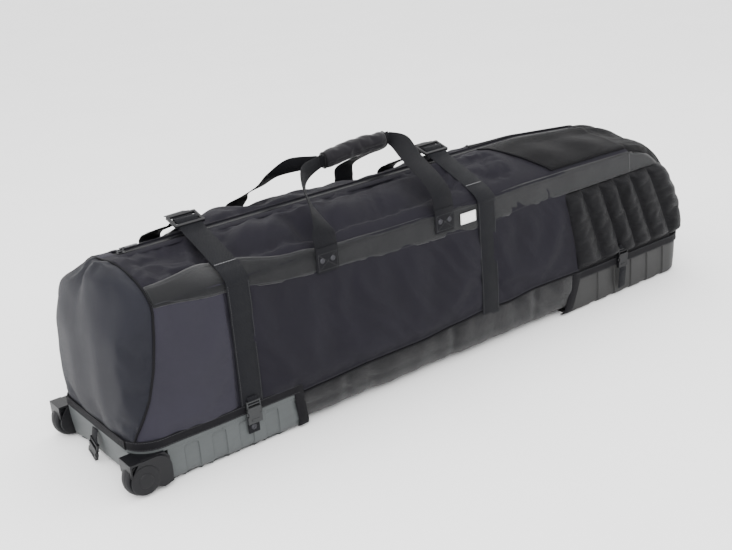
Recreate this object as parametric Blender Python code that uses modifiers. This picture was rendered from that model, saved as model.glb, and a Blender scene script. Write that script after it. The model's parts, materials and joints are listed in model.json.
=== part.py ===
"""Golf travel case: two moulded end trays joined by a soft fabric body, on two wheels.

Metres, +Z up. X runs along the case, wheels at -X and club heads at +X; the near side is -Y.
Run with: blender --background --python part.py
"""
import math

import bpy
import bmesh
from mathutils import Matrix, Vector

# ---- driving dimensions -----------------------------------------------------------------
HALF_LENGTH = 0.650
HALF_WIDTH = 0.140
SKIN = 0.003            # thickness of a fabric wall with its lining
GAP = 0.0004            # clearance between pieces that touch
WEB = 0.0017            # thickness of webbing
SIDES = (("near", -1), ("far", 1))

SHELL_TOP = 0.0665
SHELL_WALL = 0.003
WHEEL_SHELL_FRONT = -0.353
WHEEL_SHELL_BOTTOM = 0.004
HEAD_SHELL_FRONT = 0.296
HEAD_SHELL_SLANT = 0.029
SHELL_CORNER = 0.048
RIB_DEPTH = 0.0012
BINDING_HEIGHT = 0.017

WALL_BOTTOM = SHELL_TOP + GAP
WALL_TOP = 0.297
SEAM_Z = 0.075          # top of the bottom panel between the trays
GUSSET_FRONT = -0.4675
WHEEL_SEAM_LOW = -0.603
WHEEL_SEAM_HIGH = -0.5865
RIBBED_FRONT = 0.287
FLAP_ENDS = (-0.5830, 0.4700)

PIVOT_Y = 0.1475        # the top flaps and the handles turn about these two lines
PIVOT_Z = 0.302
FLAP_EDGE_Y = 0.1385
FLAP_EDGE_Z = 0.3012
ZIP_Z = 0.337
ZIP_HALF = 0.013
CROWN = ((-0.583, 0.343), (-0.450, 0.336), (-0.350, 0.353), (-0.100, 0.355),
         (0.050, 0.352), (0.300, 0.334), (0.470, 0.323))
ARCH_POWER = 1.5         # 2 is a round arch, 1 is two straight slopes

HOOD_X = 0.450          # the head end is a quarter ellipse about this point
HOOD_Z = 0.0669
HOOD_LENGTH = 0.200
HOOD_HEIGHT = 0.256

BAND_LOW = 0.257
BAND_Y = 0.1412
STRAP_Y = 0.1432
STRAP_WIDTH = 0.042
CROSS_X = (-0.4425, 0.0805)
HANDLE_FOOT_X = (-0.273, -0.0205)
HANDLE_WIDTH = 0.044
GRIP_X = (-0.164, -0.030)
GRIP_Z = 0.403
GRIP_RISE = 0.009

PULL_REACH = 0.675      # as far out as the wheels stand at the other end

WHEEL_X = -0.645
WHEEL_R = 0.030
WHEEL_Y = 0.1335
WHEEL_WIDTH = 0.024
TREAD_DROP = 0.006      # how far the tread curves in at the edges of the tyre
HUB_R = 0.0165
BEARING_R = 0.0088
AXLE_R = 0.0040
HOUSING_OUT = 0.1515
HOUSING_IN = 0.1130
HOUSING_FRONT = -0.598
HOUSING_TOP = 0.0625

# slot name: base colour, roughness, metallic
FINISHES = {
    "black_fabric": ((0.020, 0.020, 0.024), 0.85, 0.0),
    "charcoal_fabric": ((0.060, 0.058, 0.072), 0.80, 0.0),
    "end_fabric": ((0.035, 0.038, 0.046), 0.75, 0.0),
    "black_webbing": ((0.014, 0.015, 0.016), 0.80, 0.0),
    "binding_tape": ((0.022, 0.021, 0.023), 0.85, 0.0),
    "grey_shell": ((0.155, 0.165, 0.158), 0.55, 0.0),
    "dark_shell": ((0.085, 0.086, 0.083), 0.55, 0.0),
    "black_plastic": ((0.025, 0.026, 0.028), 0.45, 0.0),
    "tyre_rubber": ((0.030, 0.031, 0.033), 0.60, 0.0),
    "hub_plastic": ((0.060, 0.062, 0.065), 0.45, 0.0),
    "bearing_steel": ((0.550, 0.550, 0.560), 0.30, 1.0),
    "axle_steel": ((0.400, 0.400, 0.410), 0.35, 1.0),
    "foam_liner": ((0.120, 0.120, 0.130), 0.90, 0.0),
    "zip_tape": ((0.016, 0.016, 0.018), 0.80, 0.0),
    "zip_metal": ((0.180, 0.180, 0.190), 0.40, 1.0),
}


def clear_scene():
    for old in list(bpy.data.objects):
        bpy.data.objects.remove(old, do_unlink=True)


def new_collection(name):
    made = bpy.data.collections.new(name)
    bpy.context.scene.collection.children.link(made)
    return made


def finish(slot):
    """The material of one slot, made the first time it is asked for."""
    known = bpy.data.materials.get(slot)
    if known:
        return known
    color, roughness, metallic = FINISHES[slot]
    made = bpy.data.materials.new(slot)
    made.use_nodes = True
    shader = made.node_tree.nodes["Principled BSDF"]
    shader.inputs["Base Color"].default_value = (*color, 1.0)
    shader.inputs["Roughness"].default_value = roughness
    shader.inputs["Metallic"].default_value = metallic
    made.diffuse_color = (*color, 1.0)
    return made


clear_scene()
CASE = new_collection("golf_travel_case")
CUTTERS = new_collection("cutters")


# ---- ways to make a solid ---------------------------------------------------------------
def place(name, mesh, slot, location=(0, 0, 0)):
    part = bpy.data.objects.new(name, mesh)
    part.location = location
    mesh.materials.append(finish(slot))
    CASE.objects.link(part)
    return part


def mesh_of(name, bm):
    bmesh.ops.recalc_face_normals(bm, faces=bm.faces)
    mesh = bpy.data.meshes.new(name)
    bm.to_mesh(mesh)
    bm.free()
    return mesh


def block_mesh(name, size):
    bm = bmesh.new()
    bmesh.ops.create_cube(bm, size=1.0)
    bmesh.ops.scale(bm, vec=Vector(size), verts=bm.verts)
    return mesh_of(name, bm)


def block(name, low, high, slot):
    """A plain box between two corners."""
    size = [b - a for a, b in zip(low, high)]
    centre = [(a + b) / 2 for a, b in zip(low, high)]
    return place(name, block_mesh(name, size), slot, centre)


def ordered(low, high):
    """Two corners with their y values put in order, for pieces mirrored to the other side."""
    (x0, y0, z0), (x1, y1, z1) = low, high
    return (x0, min(y0, y1), z0), (x1, max(y0, y1), z1)


def soften(part, width, segments=2):
    bevel = part.modifiers.new("soft_edges", "BEVEL")
    bevel.width = width
    bevel.segments = segments
    bevel.limit_method = "ANGLE"
    bevel.angle_limit = math.radians(40)


def cut(part, cutter, operation="DIFFERENCE"):
    boolean = part.modifiers.new(cutter.name, "BOOLEAN")
    boolean.operation = operation
    boolean.object = cutter


def box_cutter(name, low, high):
    size = [b - a for a, b in zip(low, high)]
    cutter = bpy.data.objects.new(name, block_mesh(name, size))
    cutter.location = [(a + b) / 2 for a, b in zip(low, high)]
    return hide_cutter(cutter)


def hide_cutter(cutter):
    cutter.hide_render = True
    cutter.display_type = "WIRE"
    CUTTERS.objects.link(cutter)
    return cutter


def round_cutter(name, radius, length, location, segments=32):
    """A cylinder along Y that cuts a bore."""
    cutter = bpy.data.objects.new(name, rod_mesh(name, radius, length, segments))
    cutter.location = location
    return hide_cutter(cutter)


def rod_mesh(name, radius, length, segments):
    bm = bmesh.new()
    bmesh.ops.create_cone(bm, cap_ends=True, segments=segments, radius1=radius,
                          radius2=radius, depth=length)
    bmesh.ops.rotate(bm, verts=bm.verts, matrix=Matrix.Rotation(math.pi / 2, 3, "X"))
    return mesh_of(name, bm)


def sheet(name, surface, columns, rows, thickness, slot):
    """A fabric sheet: surface(u, v), with u and v from 0 to 1, is its middle."""
    bm = bmesh.new()
    bmesh.ops.create_grid(bm, x_segments=columns, y_segments=rows, size=0.5)
    for vert in bm.verts:
        vert.co = Vector(surface(vert.co.x + 0.5, vert.co.y + 0.5))
    part = place(name, mesh_of(name, bm), slot)
    solidify = part.modifiers.new("thickness", "SOLIDIFY")
    solidify.thickness = thickness
    solidify.offset = 0.0
    solidify.use_even_offset = True
    return part


def ribbon(name, stations, thickness, slot):
    """Webbing through stations, each a middle point and the vector to its edge."""
    count = len(stations) - 1

    def surface(u, v):
        point, edge = stations[round(u * count)]
        return Vector(point) + (2 * v - 1) * Vector(edge)

    return sheet(name, surface, count, 1, thickness, slot)


def plate(name, outline, middle, thickness, slot, across="y"):
    """A flat outline, in X and Z across y or in Y and Z across x, made thick both ways."""
    curve = bpy.data.curves.new(name, "CURVE")
    curve.dimensions = "2D"
    curve.fill_mode = "BOTH"
    curve.extrude = thickness / 2
    spline = curve.splines.new("POLY")
    spline.points.add(len(outline) - 1)
    for point, (a, b) in zip(spline.points, outline):
        point.co = (a, b, 0.0, 1.0)
    spline.use_cyclic_u = True
    shape = bpy.data.objects.new(name + "_outline", curve)
    CASE.objects.link(shape)
    if across == "y":
        shape.rotation_euler = (math.pi / 2, 0, 0)
        shape.location = (0, middle, 0)
    else:
        shape.rotation_euler = (math.pi / 2, 0, math.pi / 2)
        shape.location = (middle, 0, 0)
    bpy.context.view_layer.update()
    seen = shape.evaluated_get(bpy.context.evaluated_depsgraph_get())
    mesh = bpy.data.meshes.new_from_object(seen)
    mesh.name = name
    mesh.transform(shape.matrix_world)
    bpy.data.objects.remove(shape, do_unlink=True)
    bm = bmesh.new()
    bm.from_mesh(mesh)
    bmesh.ops.remove_doubles(bm, verts=bm.verts, dist=0.00005)
    bm.to_mesh(mesh)
    bm.free()
    mesh.materials.clear()
    return place(name, mesh, slot)


def turned(name, profile, segments, slot, location):
    """A profile of radius and place along Y, turned about the Y axis."""
    bm = bmesh.new()
    verts = [bm.verts.new((radius, along, 0.0)) for radius, along in reversed(profile)]
    for first, second in zip(verts, verts[1:] + verts[:1]):
        bm.edges.new((first, second))
    mesh = bpy.data.meshes.new(name)
    bm.to_mesh(mesh)
    bm.free()
    part = place(name, mesh, slot, location)
    screw = part.modifiers.new("turn", "SCREW")
    screw.axis = "Y"
    screw.steps = segments
    screw.render_steps = segments
    screw.use_merge_vertices = True
    screw.merge_threshold = 0.00001
    return part


def arc(centre, radius, start, end, steps):
    """Points on an arc; angles in degrees, counterclockwise from the first axis."""
    return [(centre[0] + radius * math.cos(math.radians(start + (end - start) * i / steps)),
             centre[1] + radius * math.sin(math.radians(start + (end - start) * i / steps)))
            for i in range(steps + 1)]


def between(table, x):
    """The value at x of a table of x and value pairs, eased from one pair to the next."""
    if x <= table[0][0]:
        return table[0][1]
    for (x0, v0), (x1, v1) in zip(table, table[1:]):
        if x <= x1:
            t = (x - x0) / (x1 - x0)
            return v0 + (v1 - v0) * t * t * (3 - 2 * t)
    return table[-1][1]


# ---- the shape of the soft body ---------------------------------------------------------
def roof(x, y):
    """Height of the closed top: a low arch, with the zip in a shallow valley."""
    across = min(abs(y) / FLAP_EDGE_Y, 1.0)
    dome = FLAP_EDGE_Z + (between(CROWN, x) - FLAP_EDGE_Z) * (1 - across ** ARCH_POWER)
    valley = max(0.0, 1.0 - max(abs(y) - ZIP_HALF, 0.0) / 0.035)
    ease = valley * valley * (3 - 2 * valley)
    return dome + (ZIP_Z - SKIN / 2 - dome) * ease


def hood_profile(t, inset=0.0):
    """X and z on the head end, from its top (t=0) to its foot (t=1)."""
    angle = math.radians(83) * (1 - t)
    return (HOOD_X + (HOOD_LENGTH - inset) * math.cos(angle),
            HOOD_Z + (HOOD_HEIGHT - inset) * math.sin(angle))


def hood_round(t):
    """Radius of the rounded edge along each side of the head end."""
    return 0.026 + 0.022 * t


def wheel_seam(z):
    """X of the seam between a charcoal gusset and the end panel."""
    t = (z - WALL_BOTTOM) / (WALL_TOP - WALL_BOTTOM)
    return WHEEL_SEAM_LOW + (WHEEL_SEAM_HIGH - WHEEL_SEAM_LOW) * min(t, 1.0)


# ---- moulded trays ----------------------------------------------------------------------
def tray(name, low, high, end_sign, slant, slot):
    """A block with rounded corners at its outer end, before its inside is cut away."""
    bm = bmesh.new()
    bmesh.ops.create_cube(bm, size=1.0)
    for vert in bm.verts:
        vert.co = Vector([low[i] if vert.co[i] < 0 else high[i] for i in range(3)])
        if vert.co.x * end_sign < max(low[0] * end_sign, high[0] * end_sign) - 0.01:
            if vert.co.z > 0.03:
                vert.co.x += slant
    outer_x = high[0] if end_sign > 0 else low[0]
    corners = [edge for edge in bm.edges
               if all(abs(v.co.x - outer_x) < 1e-6 for v in edge.verts)
               and abs(edge.verts[0].co.z - edge.verts[1].co.z) > 0.03]
    bmesh.ops.bevel(bm, geom=corners, offset=SHELL_CORNER, segments=7, profile=0.5,
                    affect="EDGES")
    rims = [edge for edge in bm.edges
            if all(abs(v.co.z - low[2]) < 1e-6 for v in edge.verts)
            and not all(abs(v.co.x - (low[0] if end_sign > 0 else high[0])) < 1e-6
                        for v in edge.verts)]
    bmesh.ops.bevel(bm, geom=rims, offset=0.009, segments=2, profile=0.5, affect="EDGES")
    return place(name, mesh_of(name, bm), slot)


def cut_ribs(part, places, low_z, high_z, width, shift=0.0):
    """Shallow upright recesses in both long sides."""
    for side, sign in SIDES:
        for number, x in enumerate(places):
            inner = sign * (HALF_WIDTH - RIB_DEPTH)
            outer = sign * (HALF_WIDTH + 0.01)
            low, high = ordered((x - width / 2, inner, low_z), (x + width / 2, outer, high_z))
            cutter = box_cutter(f"{part.name}_{side}_rib_{number}", low, high)
            cutter.rotation_euler = (0, shift, 0)
            cut(part, cutter)


def wheel_end_shell():
    part = tray("wheel_end_shell",
                (-HALF_LENGTH, -HALF_WIDTH, WHEEL_SHELL_BOTTOM),
                (WHEEL_SHELL_FRONT, HALF_WIDTH, SHELL_TOP), -1, -0.006, "grey_shell")
    floor = WHEEL_SHELL_BOTTOM + SHELL_WALL
    well_front = HOUSING_FRONT + 0.0003
    well_in = HOUSING_IN - 0.0003
    cut(part, box_cutter("wheel_shell_inside",
                         (well_front + SHELL_WALL, -HALF_WIDTH + SHELL_WALL, floor),
                         (WHEEL_SHELL_FRONT + 0.05, HALF_WIDTH - SHELL_WALL, 0.1)))
    cut(part, box_cutter("wheel_shell_inside_end",
                         (-HALF_LENGTH + SHELL_WALL, -well_in + SHELL_WALL, floor),
                         (well_front + 0.02, well_in - SHELL_WALL, 0.1)))
    for side, sign in SIDES:
        low, high = ordered((-0.7, sign * well_in, -0.01),
                            (well_front, sign * 0.2, HOUSING_TOP + 0.0003))
        cut(part, box_cutter(f"{side}_wheel_well", low, high))
    cut_ribs(part, (-0.556, -0.506, -0.456, -0.406), 0.014, 0.054, 0.026)
    return part


def head_end_shell():
    part = tray("head_end_shell", (HEAD_SHELL_FRONT, -HALF_WIDTH, 0.0),
                (HALF_LENGTH, HALF_WIDTH, SHELL_TOP), 1, HEAD_SHELL_SLANT, "dark_shell")
    cut(part, box_cutter("head_shell_inside",
                         (HEAD_SHELL_FRONT - 0.05, -HALF_WIDTH + SHELL_WALL, SHELL_WALL),
                         (HALF_LENGTH - SHELL_CORNER, HALF_WIDTH - SHELL_WALL, 0.1)))
    cut(part, box_cutter("head_shell_inside_end",
                         (HALF_LENGTH - SHELL_CORNER - 0.01, -HALF_WIDTH + SHELL_CORNER,
                          SHELL_WALL),
                         (HALF_LENGTH - SHELL_WALL, HALF_WIDTH - SHELL_CORNER, 0.1)))
    cut_ribs(part, (0.370, 0.420, 0.470, 0.520, 0.570), 0.012, 0.056, 0.020)
    return part


def binding(name, front_low, front_high, end_x):
    """Fabric tape that covers the rim of a tray: up its front edge, round its end and back."""
    inward = 1 if end_x < 0 else -1
    middle = SHELL_TOP + BINDING_HEIGHT / 2
    rise = 0.0020
    out = HALF_WIDTH + rise
    half = BINDING_HEIGHT / 2
    centre = (end_x + inward * SHELL_CORNER, HALF_WIDTH - SHELL_CORNER)
    near = [((front_low, -out, 0.010), (inward * half, 0, 0)),
            ((front_high, -out, middle - half), (inward * half, 0, 0)),
            ((front_high - inward * half, -out, middle), (0, 0, half))]
    steps = 7
    for i in range(steps + 1):
        turn = math.radians(90 * i / steps)
        x = centre[0] - inward * (SHELL_CORNER + rise) * math.sin(turn)
        y = centre[1] + (SHELL_CORNER + rise) * math.cos(turn)
        near.append(((x, -y, middle), (0, 0, half)))
    far = [((x, -y, z), edge) for (x, y, z), edge in reversed(near)]
    return ribbon(name, near + far, 0.002, "binding_tape")


# ---- fabric body ------------------------------------------------------------------------
def side_walls():
    for side, sign in SIDES:
        middle = sign * (HALF_WIDTH - SKIN / 2)
        gusset = [(WHEEL_SEAM_LOW, WALL_BOTTOM), (GUSSET_FRONT, WALL_BOTTOM),
                  (GUSSET_FRONT, WALL_TOP), (WHEEL_SEAM_HIGH, WALL_TOP)]
        plate(f"{side}_wheel_end_gusset", gusset, middle, SKIN, "charcoal_fabric")
        main = [(GUSSET_FRONT + GAP, WALL_BOTTOM), (WHEEL_SHELL_FRONT, WALL_BOTTOM),
                (WHEEL_SHELL_FRONT, SEAM_Z + GAP), (RIBBED_FRONT - GAP, SEAM_Z + GAP),
                (RIBBED_FRONT - GAP, WALL_TOP), (GUSSET_FRONT + GAP, WALL_TOP)]
        plate(f"{side}_side_wall", main, middle, SKIN, "black_fabric")
        ribbed_side_pad(side, sign)
        reinforcement_band(side, sign)


def ribbed_side_pad(side, sign):
    """Quilted side of the head end, flat inside and thicker than the plain wall."""
    edge = [hood_profile(i / 10, hood_round(i / 10) + SKIN / 2 + 2 * GAP) for i in range(11)]
    outline = [(RIBBED_FRONT, SEAM_Z + GAP), (HEAD_SHELL_FRONT + 0.034, SEAM_Z + GAP),
               (HEAD_SHELL_FRONT + 0.034, WALL_BOTTOM)]
    outline += [point for point in reversed(edge)]
    outline += [(FLAP_ENDS[1], WALL_TOP - 0.004), (FLAP_ENDS[1] - 0.01, WALL_TOP),
                (RIBBED_FRONT, WALL_TOP)]
    plate(f"{side}_ribbed_pad", outline, sign * (HALF_WIDTH - SKIN / 2), SKIN, "black_fabric")


def reinforcement_band(side, sign):
    """Heavy webbing along the upper edge of the side."""
    block(f"{side}_reinforcement_band",
          *ordered((FLAP_ENDS[0] + 0.002, sign * (BAND_Y - WEB / 2), BAND_LOW),
                   (0.450, sign * (BAND_Y + WEB / 2), WALL_TOP)), "black_webbing")


def wheel_end_panel():
    """Arched end of the soft body, bulging out over the wheel tray."""
    half = HALF_WIDTH - SKIN / 2

    def surface(u, v):
        y = half * math.sin(math.pi * (u - 0.5))
        across = abs(y) / half
        top = FLAP_EDGE_Z - 0.003 + (roof(FLAP_ENDS[0], y * 0.98) - FLAP_EDGE_Z)
        z = WALL_BOTTOM + (top - WALL_BOTTOM) * v
        seam = wheel_seam(z) - GAP - 0.002
        face = between(((0.0, -0.6475), (0.45, -0.6480), (0.8, -0.6330), (1.0, -0.6080)), v)
        return (seam + (face - seam) * (1 - across ** 4) ** 0.5, y, z)

    return sheet("wheel_end_panel", surface, 14, 9, SKIN, "end_fabric")


def head_end_hood():
    """Fixed end of the soft body over the club heads, rounded along both sides."""
    def surface(u, v):
        radius = hood_round(v)
        half = HALF_WIDTH - SKIN / 2
        flat = half - radius
        turn = (u - 0.5) * 2
        if abs(turn) <= 0.6:
            y = flat * turn / 0.6
            drop = 0.0
        else:
            angle = (abs(turn) - 0.6) / 0.4 * math.pi / 2
            y = math.copysign(flat + radius * math.sin(angle), turn)
            drop = radius * (1 - math.cos(angle))
        x, z = hood_profile(v, SKIN / 2 + drop)
        return (x, y, max(z, WALL_BOTTOM + 0.0))

    return sheet("head_end_hood", surface, 20, 10, SKIN, "black_fabric")


def bottom_panel():
    """Fabric sling that joins the two trays."""
    half = HALF_WIDTH - SKIN / 2
    low = WHEEL_SHELL_BOTTOM + SKIN / 2
    radius = 0.014
    path = [(-half, SEAM_Z)]
    path += arc((-half + radius, low + radius), radius, 180, 270, 4)
    path += [(0.0, low)]
    path += [(-y, z) for y, z in reversed(path[:-1])]
    count = len(path) - 1

    def surface(u, v):
        y, z = path[round(v * count)]
        start = WHEEL_SHELL_FRONT + GAP
        end = HEAD_SHELL_FRONT - GAP + HEAD_SHELL_SLANT * z / SHELL_TOP * 0.9
        return (start + (end - start) * u, y, z)

    return sheet("bottom_panel", surface, 4, count, SKIN, "black_fabric")


def liners():
    """Foam on the floor of each tray, inside."""
    thick = 0.006
    wheel_floor = WHEEL_SHELL_BOTTOM + SHELL_WALL + GAP
    block("wheel_shell_liner", (-0.590, -0.130, wheel_floor),
          (WHEEL_SHELL_FRONT - 0.004, 0.130, wheel_floor + thick), "foam_liner")
    block("head_shell_liner", (HEAD_SHELL_FRONT + 0.012, -0.130, SHELL_WALL + GAP),
          (HALF_LENGTH - SHELL_CORNER - 0.004, 0.130, SHELL_WALL + GAP + thick), "foam_liner")


def cinch_straps():
    """Straps with a slide buckle that hold the golf bag to the floor, lying flat."""
    floor = WHEEL_SHELL_BOTTOM + SKIN + GAP
    for number, x in enumerate((-0.250, 0.200), start=1):
        strap = block(f"cinch_strap_{number}", (x - 0.019, -0.120, floor),
                      (x + 0.019, 0.120, floor + 0.002), "black_webbing")
        buckle_low = (x - 0.026, -0.022, floor + 0.0005)
        buckle = box_cutter(f"cinch_buckle_{number}", buckle_low,
                            (x + 0.026, 0.022, floor + 0.010))
        cut(strap, buckle, "UNION")


# ---- top flaps, zip and straps over the top ---------------------------------------------
def flaps():
    start, end = FLAP_ENDS
    edge = FLAP_EDGE_Y - SKIN / 2
    rows = [0.0008, ZIP_HALF, 0.028, 0.044, 0.062, 0.081, 0.100, 0.117, 0.129, edge]
    for side, sign in SIDES:
        def surface(u, v, sign=sign):
            y = rows[round(v * (len(rows) - 1))]
            x = start + (end - start) * u
            return (x, sign * y, roof(x, y * FLAP_EDGE_Y / edge))

        sheet(f"{side}_top_flap", surface, 22, len(rows) - 1, SKIN, "black_fabric")
        block(f"{side}_zip_tape",
              *ordered((start + 0.006, sign * GAP / 2, ZIP_Z + GAP),
                       (end, sign * 0.012, ZIP_Z + GAP + 0.0016)), "zip_tape")


def zip_slider():
    low = ZIP_Z + 0.0016 + 3 * GAP
    slider = block("zip_slider", (-0.5680, -0.0050, low), (-0.5560, 0.0050, low + 0.0050),
                   "zip_metal")
    soften(slider, 0.0008, 1)
    pull = block("zip_pull", (-0.5625, -0.0035, low + 0.0058),
                 (-0.5325, 0.0035, low + 0.0078), "zip_metal")
    soften(pull, 0.0006, 1)


def cross_straps():
    """Straps from each shoulder over the top to a slide buckle in the middle."""
    for number, x in enumerate(CROSS_X, start=1):
        half = (STRAP_WIDTH / 2, 0, 0)
        for side, sign in SIDES:
            route = [(STRAP_Y, 0.3045), (0.1400, 0.3110), (0.1250, 0.3190), (0.1000, 0.3300),
                     (0.0650, 0.3440), (0.0300, 0.3560), (0.0008, 0.3620)]
            stations = [((x, sign * y, z), half) for y, z in route]
            ribbon(f"{side}_cross_strap_{number}", stations, WEB, "black_webbing")
        buckle = block(f"cross_buckle_{number}", (x - 0.0270, -0.0150, 0.3634),
                       (x + 0.0270, 0.0200, 0.3684), "black_plastic")
        soften(buckle, 0.0012, 1)
        for slot, low_y in enumerate((-0.0100, 0.0080)):
            cut(buckle, box_cutter(f"cross_buckle_{number}_slot_{slot}",
                                   (x - 0.0215, low_y, 0.35), (x + 0.0215, low_y + 0.0070, 0.38)))


def side_straps():
    """Upright webbing on the sides, below the straps over the top."""
    lows = (0.0990, 0.0760)
    for side, sign in SIDES:
        for number, (x, low_z) in enumerate(zip(CROSS_X, lows), start=1):
            block(f"{side}_side_strap_{number}",
                  *ordered((x - STRAP_WIDTH / 2, sign * (STRAP_Y - WEB / 2), low_z),
                           (x + STRAP_WIDTH / 2, sign * (STRAP_Y + WEB / 2), 0.2995)),
                  "black_webbing")


# ---- carrying handles -------------------------------------------------------------------
def grip_height(x):
    share = (x - GRIP_X[0]) / (GRIP_X[1] - GRIP_X[0])
    return GRIP_Z + GRIP_RISE * (share - 0.5)


def handles():
    for side, sign in SIDES:
        wide = HANDLE_WIDTH / 2
        left, right = HANDLE_FOOT_X
        grip_y = sign * 0.0026
        legs = [((left, sign * STRAP_Y, 0.3045), (wide, 0, 0)),
                ((left, sign * 0.1390, 0.3260), (wide, 0, 0)),
                ((left, sign * 0.1230, 0.3430), (wide, 0, 0)),
                ((left + 0.008, sign * 0.0860, 0.3640), (wide * 0.95, 0, 0.002)),
                ((left + 0.028, sign * 0.0480, 0.3800), (wide * 0.75, 0, -0.008)),
                ((left + 0.062, sign * 0.0180, 0.3900), (wide * 0.40, 0, -0.013)),
                ((GRIP_X[0] - 0.012, grip_y, grip_height(GRIP_X[0])), (0.002, 0, -0.0095)),
                ((GRIP_X[0], grip_y, grip_height(GRIP_X[0])), (0, 0, -0.0090)),
                ((GRIP_X[1], grip_y, grip_height(GRIP_X[1])), (0, 0, -0.0090)),
                ((GRIP_X[1] + 0.010, grip_y, grip_height(GRIP_X[1])), (-0.003, 0, -0.0095)),
                ((right + 0.010, sign * 0.0240, 0.4000), (-wide * 0.75, 0, -0.0080)),
                ((right + 0.002, sign * 0.0620, 0.3800), (-wide * 0.95, 0, 0.0)),
                ((right, sign * 0.1150, 0.3510), (-wide, 0, 0)),
                ((right, sign * 0.1380, 0.3280), (-wide, 0, 0)),
                ((right, sign * STRAP_Y, 0.3045), (-wide, 0, 0))]
        ribbon(f"{side}_handle_strap", legs, WEB, "black_webbing")
        for place_name, x in zip(("rear", "front"), HANDLE_FOOT_X):
            handle_foot(f"{side}_{place_name}_handle_foot", x, sign)
    grip_wrap()


def handle_foot(name, x, sign):
    """Sewn end of a handle with its two rivets."""
    foot = block(name, *ordered((x - HANDLE_WIDTH / 2, sign * (STRAP_Y - WEB / 2), 0.2660),
                                (x + HANDLE_WIDTH / 2, sign * (STRAP_Y + WEB / 2), 0.2995)),
                 "black_webbing")
    for number, shift in enumerate((-0.0105, 0.0105)):
        rivet = round_cutter(f"{name}_rivet_{number}", 0.0045, 0.0022,
                             (x + shift, sign * (STRAP_Y + 0.0012), 0.2830), 16)
        cut(foot, rivet, "UNION")


def grip_wrap():
    """Padded wrap sewn to the near handle; it is open on the far side for the far handle."""
    out = arc((-0.0005, 0.0), 0.0130, 60, 300, 12)
    inside = [(0.0060, -0.0106), (-0.0042, -0.0106), (-0.0042, 0.0106), (0.0060, 0.0106)]
    middle = (GRIP_X[0] + GRIP_X[1]) / 2
    length = GRIP_X[1] - GRIP_X[0]
    wrap = plate("grip_wrap", out + inside, 0.0, length, "black_fabric", across="x")
    wrap.location = (middle, 0, GRIP_Z)
    wrap.rotation_euler = (0, -math.atan2(GRIP_RISE, length), 0)
    return wrap


# ---- buckles on the trays, pull handle ---------------------------------------------------
def shell_buckles():
    """Release buckles that swing on short webbing at the trays."""
    for side, sign in SIDES:
        x = CROSS_X[0]
        anchor = block(f"{side}_shell_anchor",
                       *ordered((x - 0.011, sign * (HALF_WIDTH + GAP), 0.030),
                                (x + 0.011, sign * (HALF_WIDTH + 0.0024), 0.0655)),
                       "black_webbing")
        soften(anchor, 0.0005, 1)
        swing_buckle(f"{side}_wheel_shell_buckle", x, sign, 0.0560, 0.0960)
        swing_buckle(f"{side}_head_shell_buckle", 0.445, sign, 0.0200, 0.1080)


def swing_buckle(name, x, sign, low_z, high_z):
    """Buckle body with webbing above it, hanging from its upper edge."""
    inner = sign * 0.1445
    body_top = high_z - 0.010
    web = block(name, *ordered((x - 0.010, inner, low_z + 0.002),
                               (x + 0.010, sign * 0.1465, high_z)), "black_plastic")
    body_low = max(low_z, body_top - 0.034)
    low, high = ordered((x - 0.0145, sign * 0.1443, body_low),
                        (x + 0.0145, sign * 0.1525, body_top))
    cut(web, box_cutter(f"{name}_body", low, high), "UNION")
    return web


def wheel_end_buckle():
    x = -HALF_LENGTH - 0.0035
    web = block("wheel_end_buckle", (x - 0.0020, -0.010, 0.014), (x, 0.010, 0.0620),
                "black_plastic")
    cut(web, box_cutter("wheel_end_buckle_body", (x - 0.0085, -0.0145, 0.0060),
                        (x + 0.0002, 0.0145, 0.0400)), "UNION")


def pull_handle():
    """Webbing loop low on the head end, for towing the case on its wheels."""
    thick = 0.0025
    height = 0.100
    edge = (0, 0, 0.0125)
    foot = HALF_LENGTH + 0.0010
    out = PULL_REACH - thick / 2
    near = [((foot, -0.0650, height), edge), ((foot + 0.0040, -0.0550, height), edge),
            ((out - 0.0025, -0.0350, height), edge)]
    far = [((x, -y, z), edge) for (x, y, z), edge in reversed(near)]
    ribbon("pull_handle", near + [((out, 0.0, height), edge)] + far, thick, "black_webbing")


# ---- wheels -----------------------------------------------------------------------------
def wheels():
    for side, sign in SIDES:
        wheel_housing(side, sign)
        middle = (WHEEL_X, sign * WHEEL_Y, WHEEL_R)
        half = WHEEL_WIDTH / 2
        turns = [math.radians(degrees) for degrees in (-90, -60, -30, 0, 30, 60, 90)]
        tread = [(WHEEL_R - TREAD_DROP * (1 - math.cos(turn)), half * math.sin(turn))
                 for turn in turns]
        tyre = [(HUB_R + GAP, half)] + [(HUB_R + GAP, -half)] + tread
        turned(f"{side}_tyre", tyre, 40, "tyre_rubber", middle)
        hub = [(BEARING_R + GAP, half - 0.001), (BEARING_R + GAP, -half + 0.001),
               (HUB_R, -half + 0.001), (HUB_R, half - 0.001)]
        turned(f"{side}_wheel_hub", hub, 32, "hub_plastic", middle)
        bearing = [(AXLE_R + GAP, half - 0.002), (AXLE_R + GAP, -half + 0.002),
                   (BEARING_R, -half + 0.002), (BEARING_R, half - 0.002)]
        turned(f"{side}_bearing_sleeve", bearing, 24, "bearing_steel", middle)
        reach = (HOUSING_OUT - 0.0006 - HOUSING_IN) - 0.001
        axle = place(f"{side}_axle", rod_mesh(f"{side}_axle", AXLE_R, reach, 24), "axle_steel",
                     (WHEEL_X, sign * (HOUSING_IN + 0.001 + reach / 2), WHEEL_R))
        axle.name = f"{side}_axle"


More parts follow.
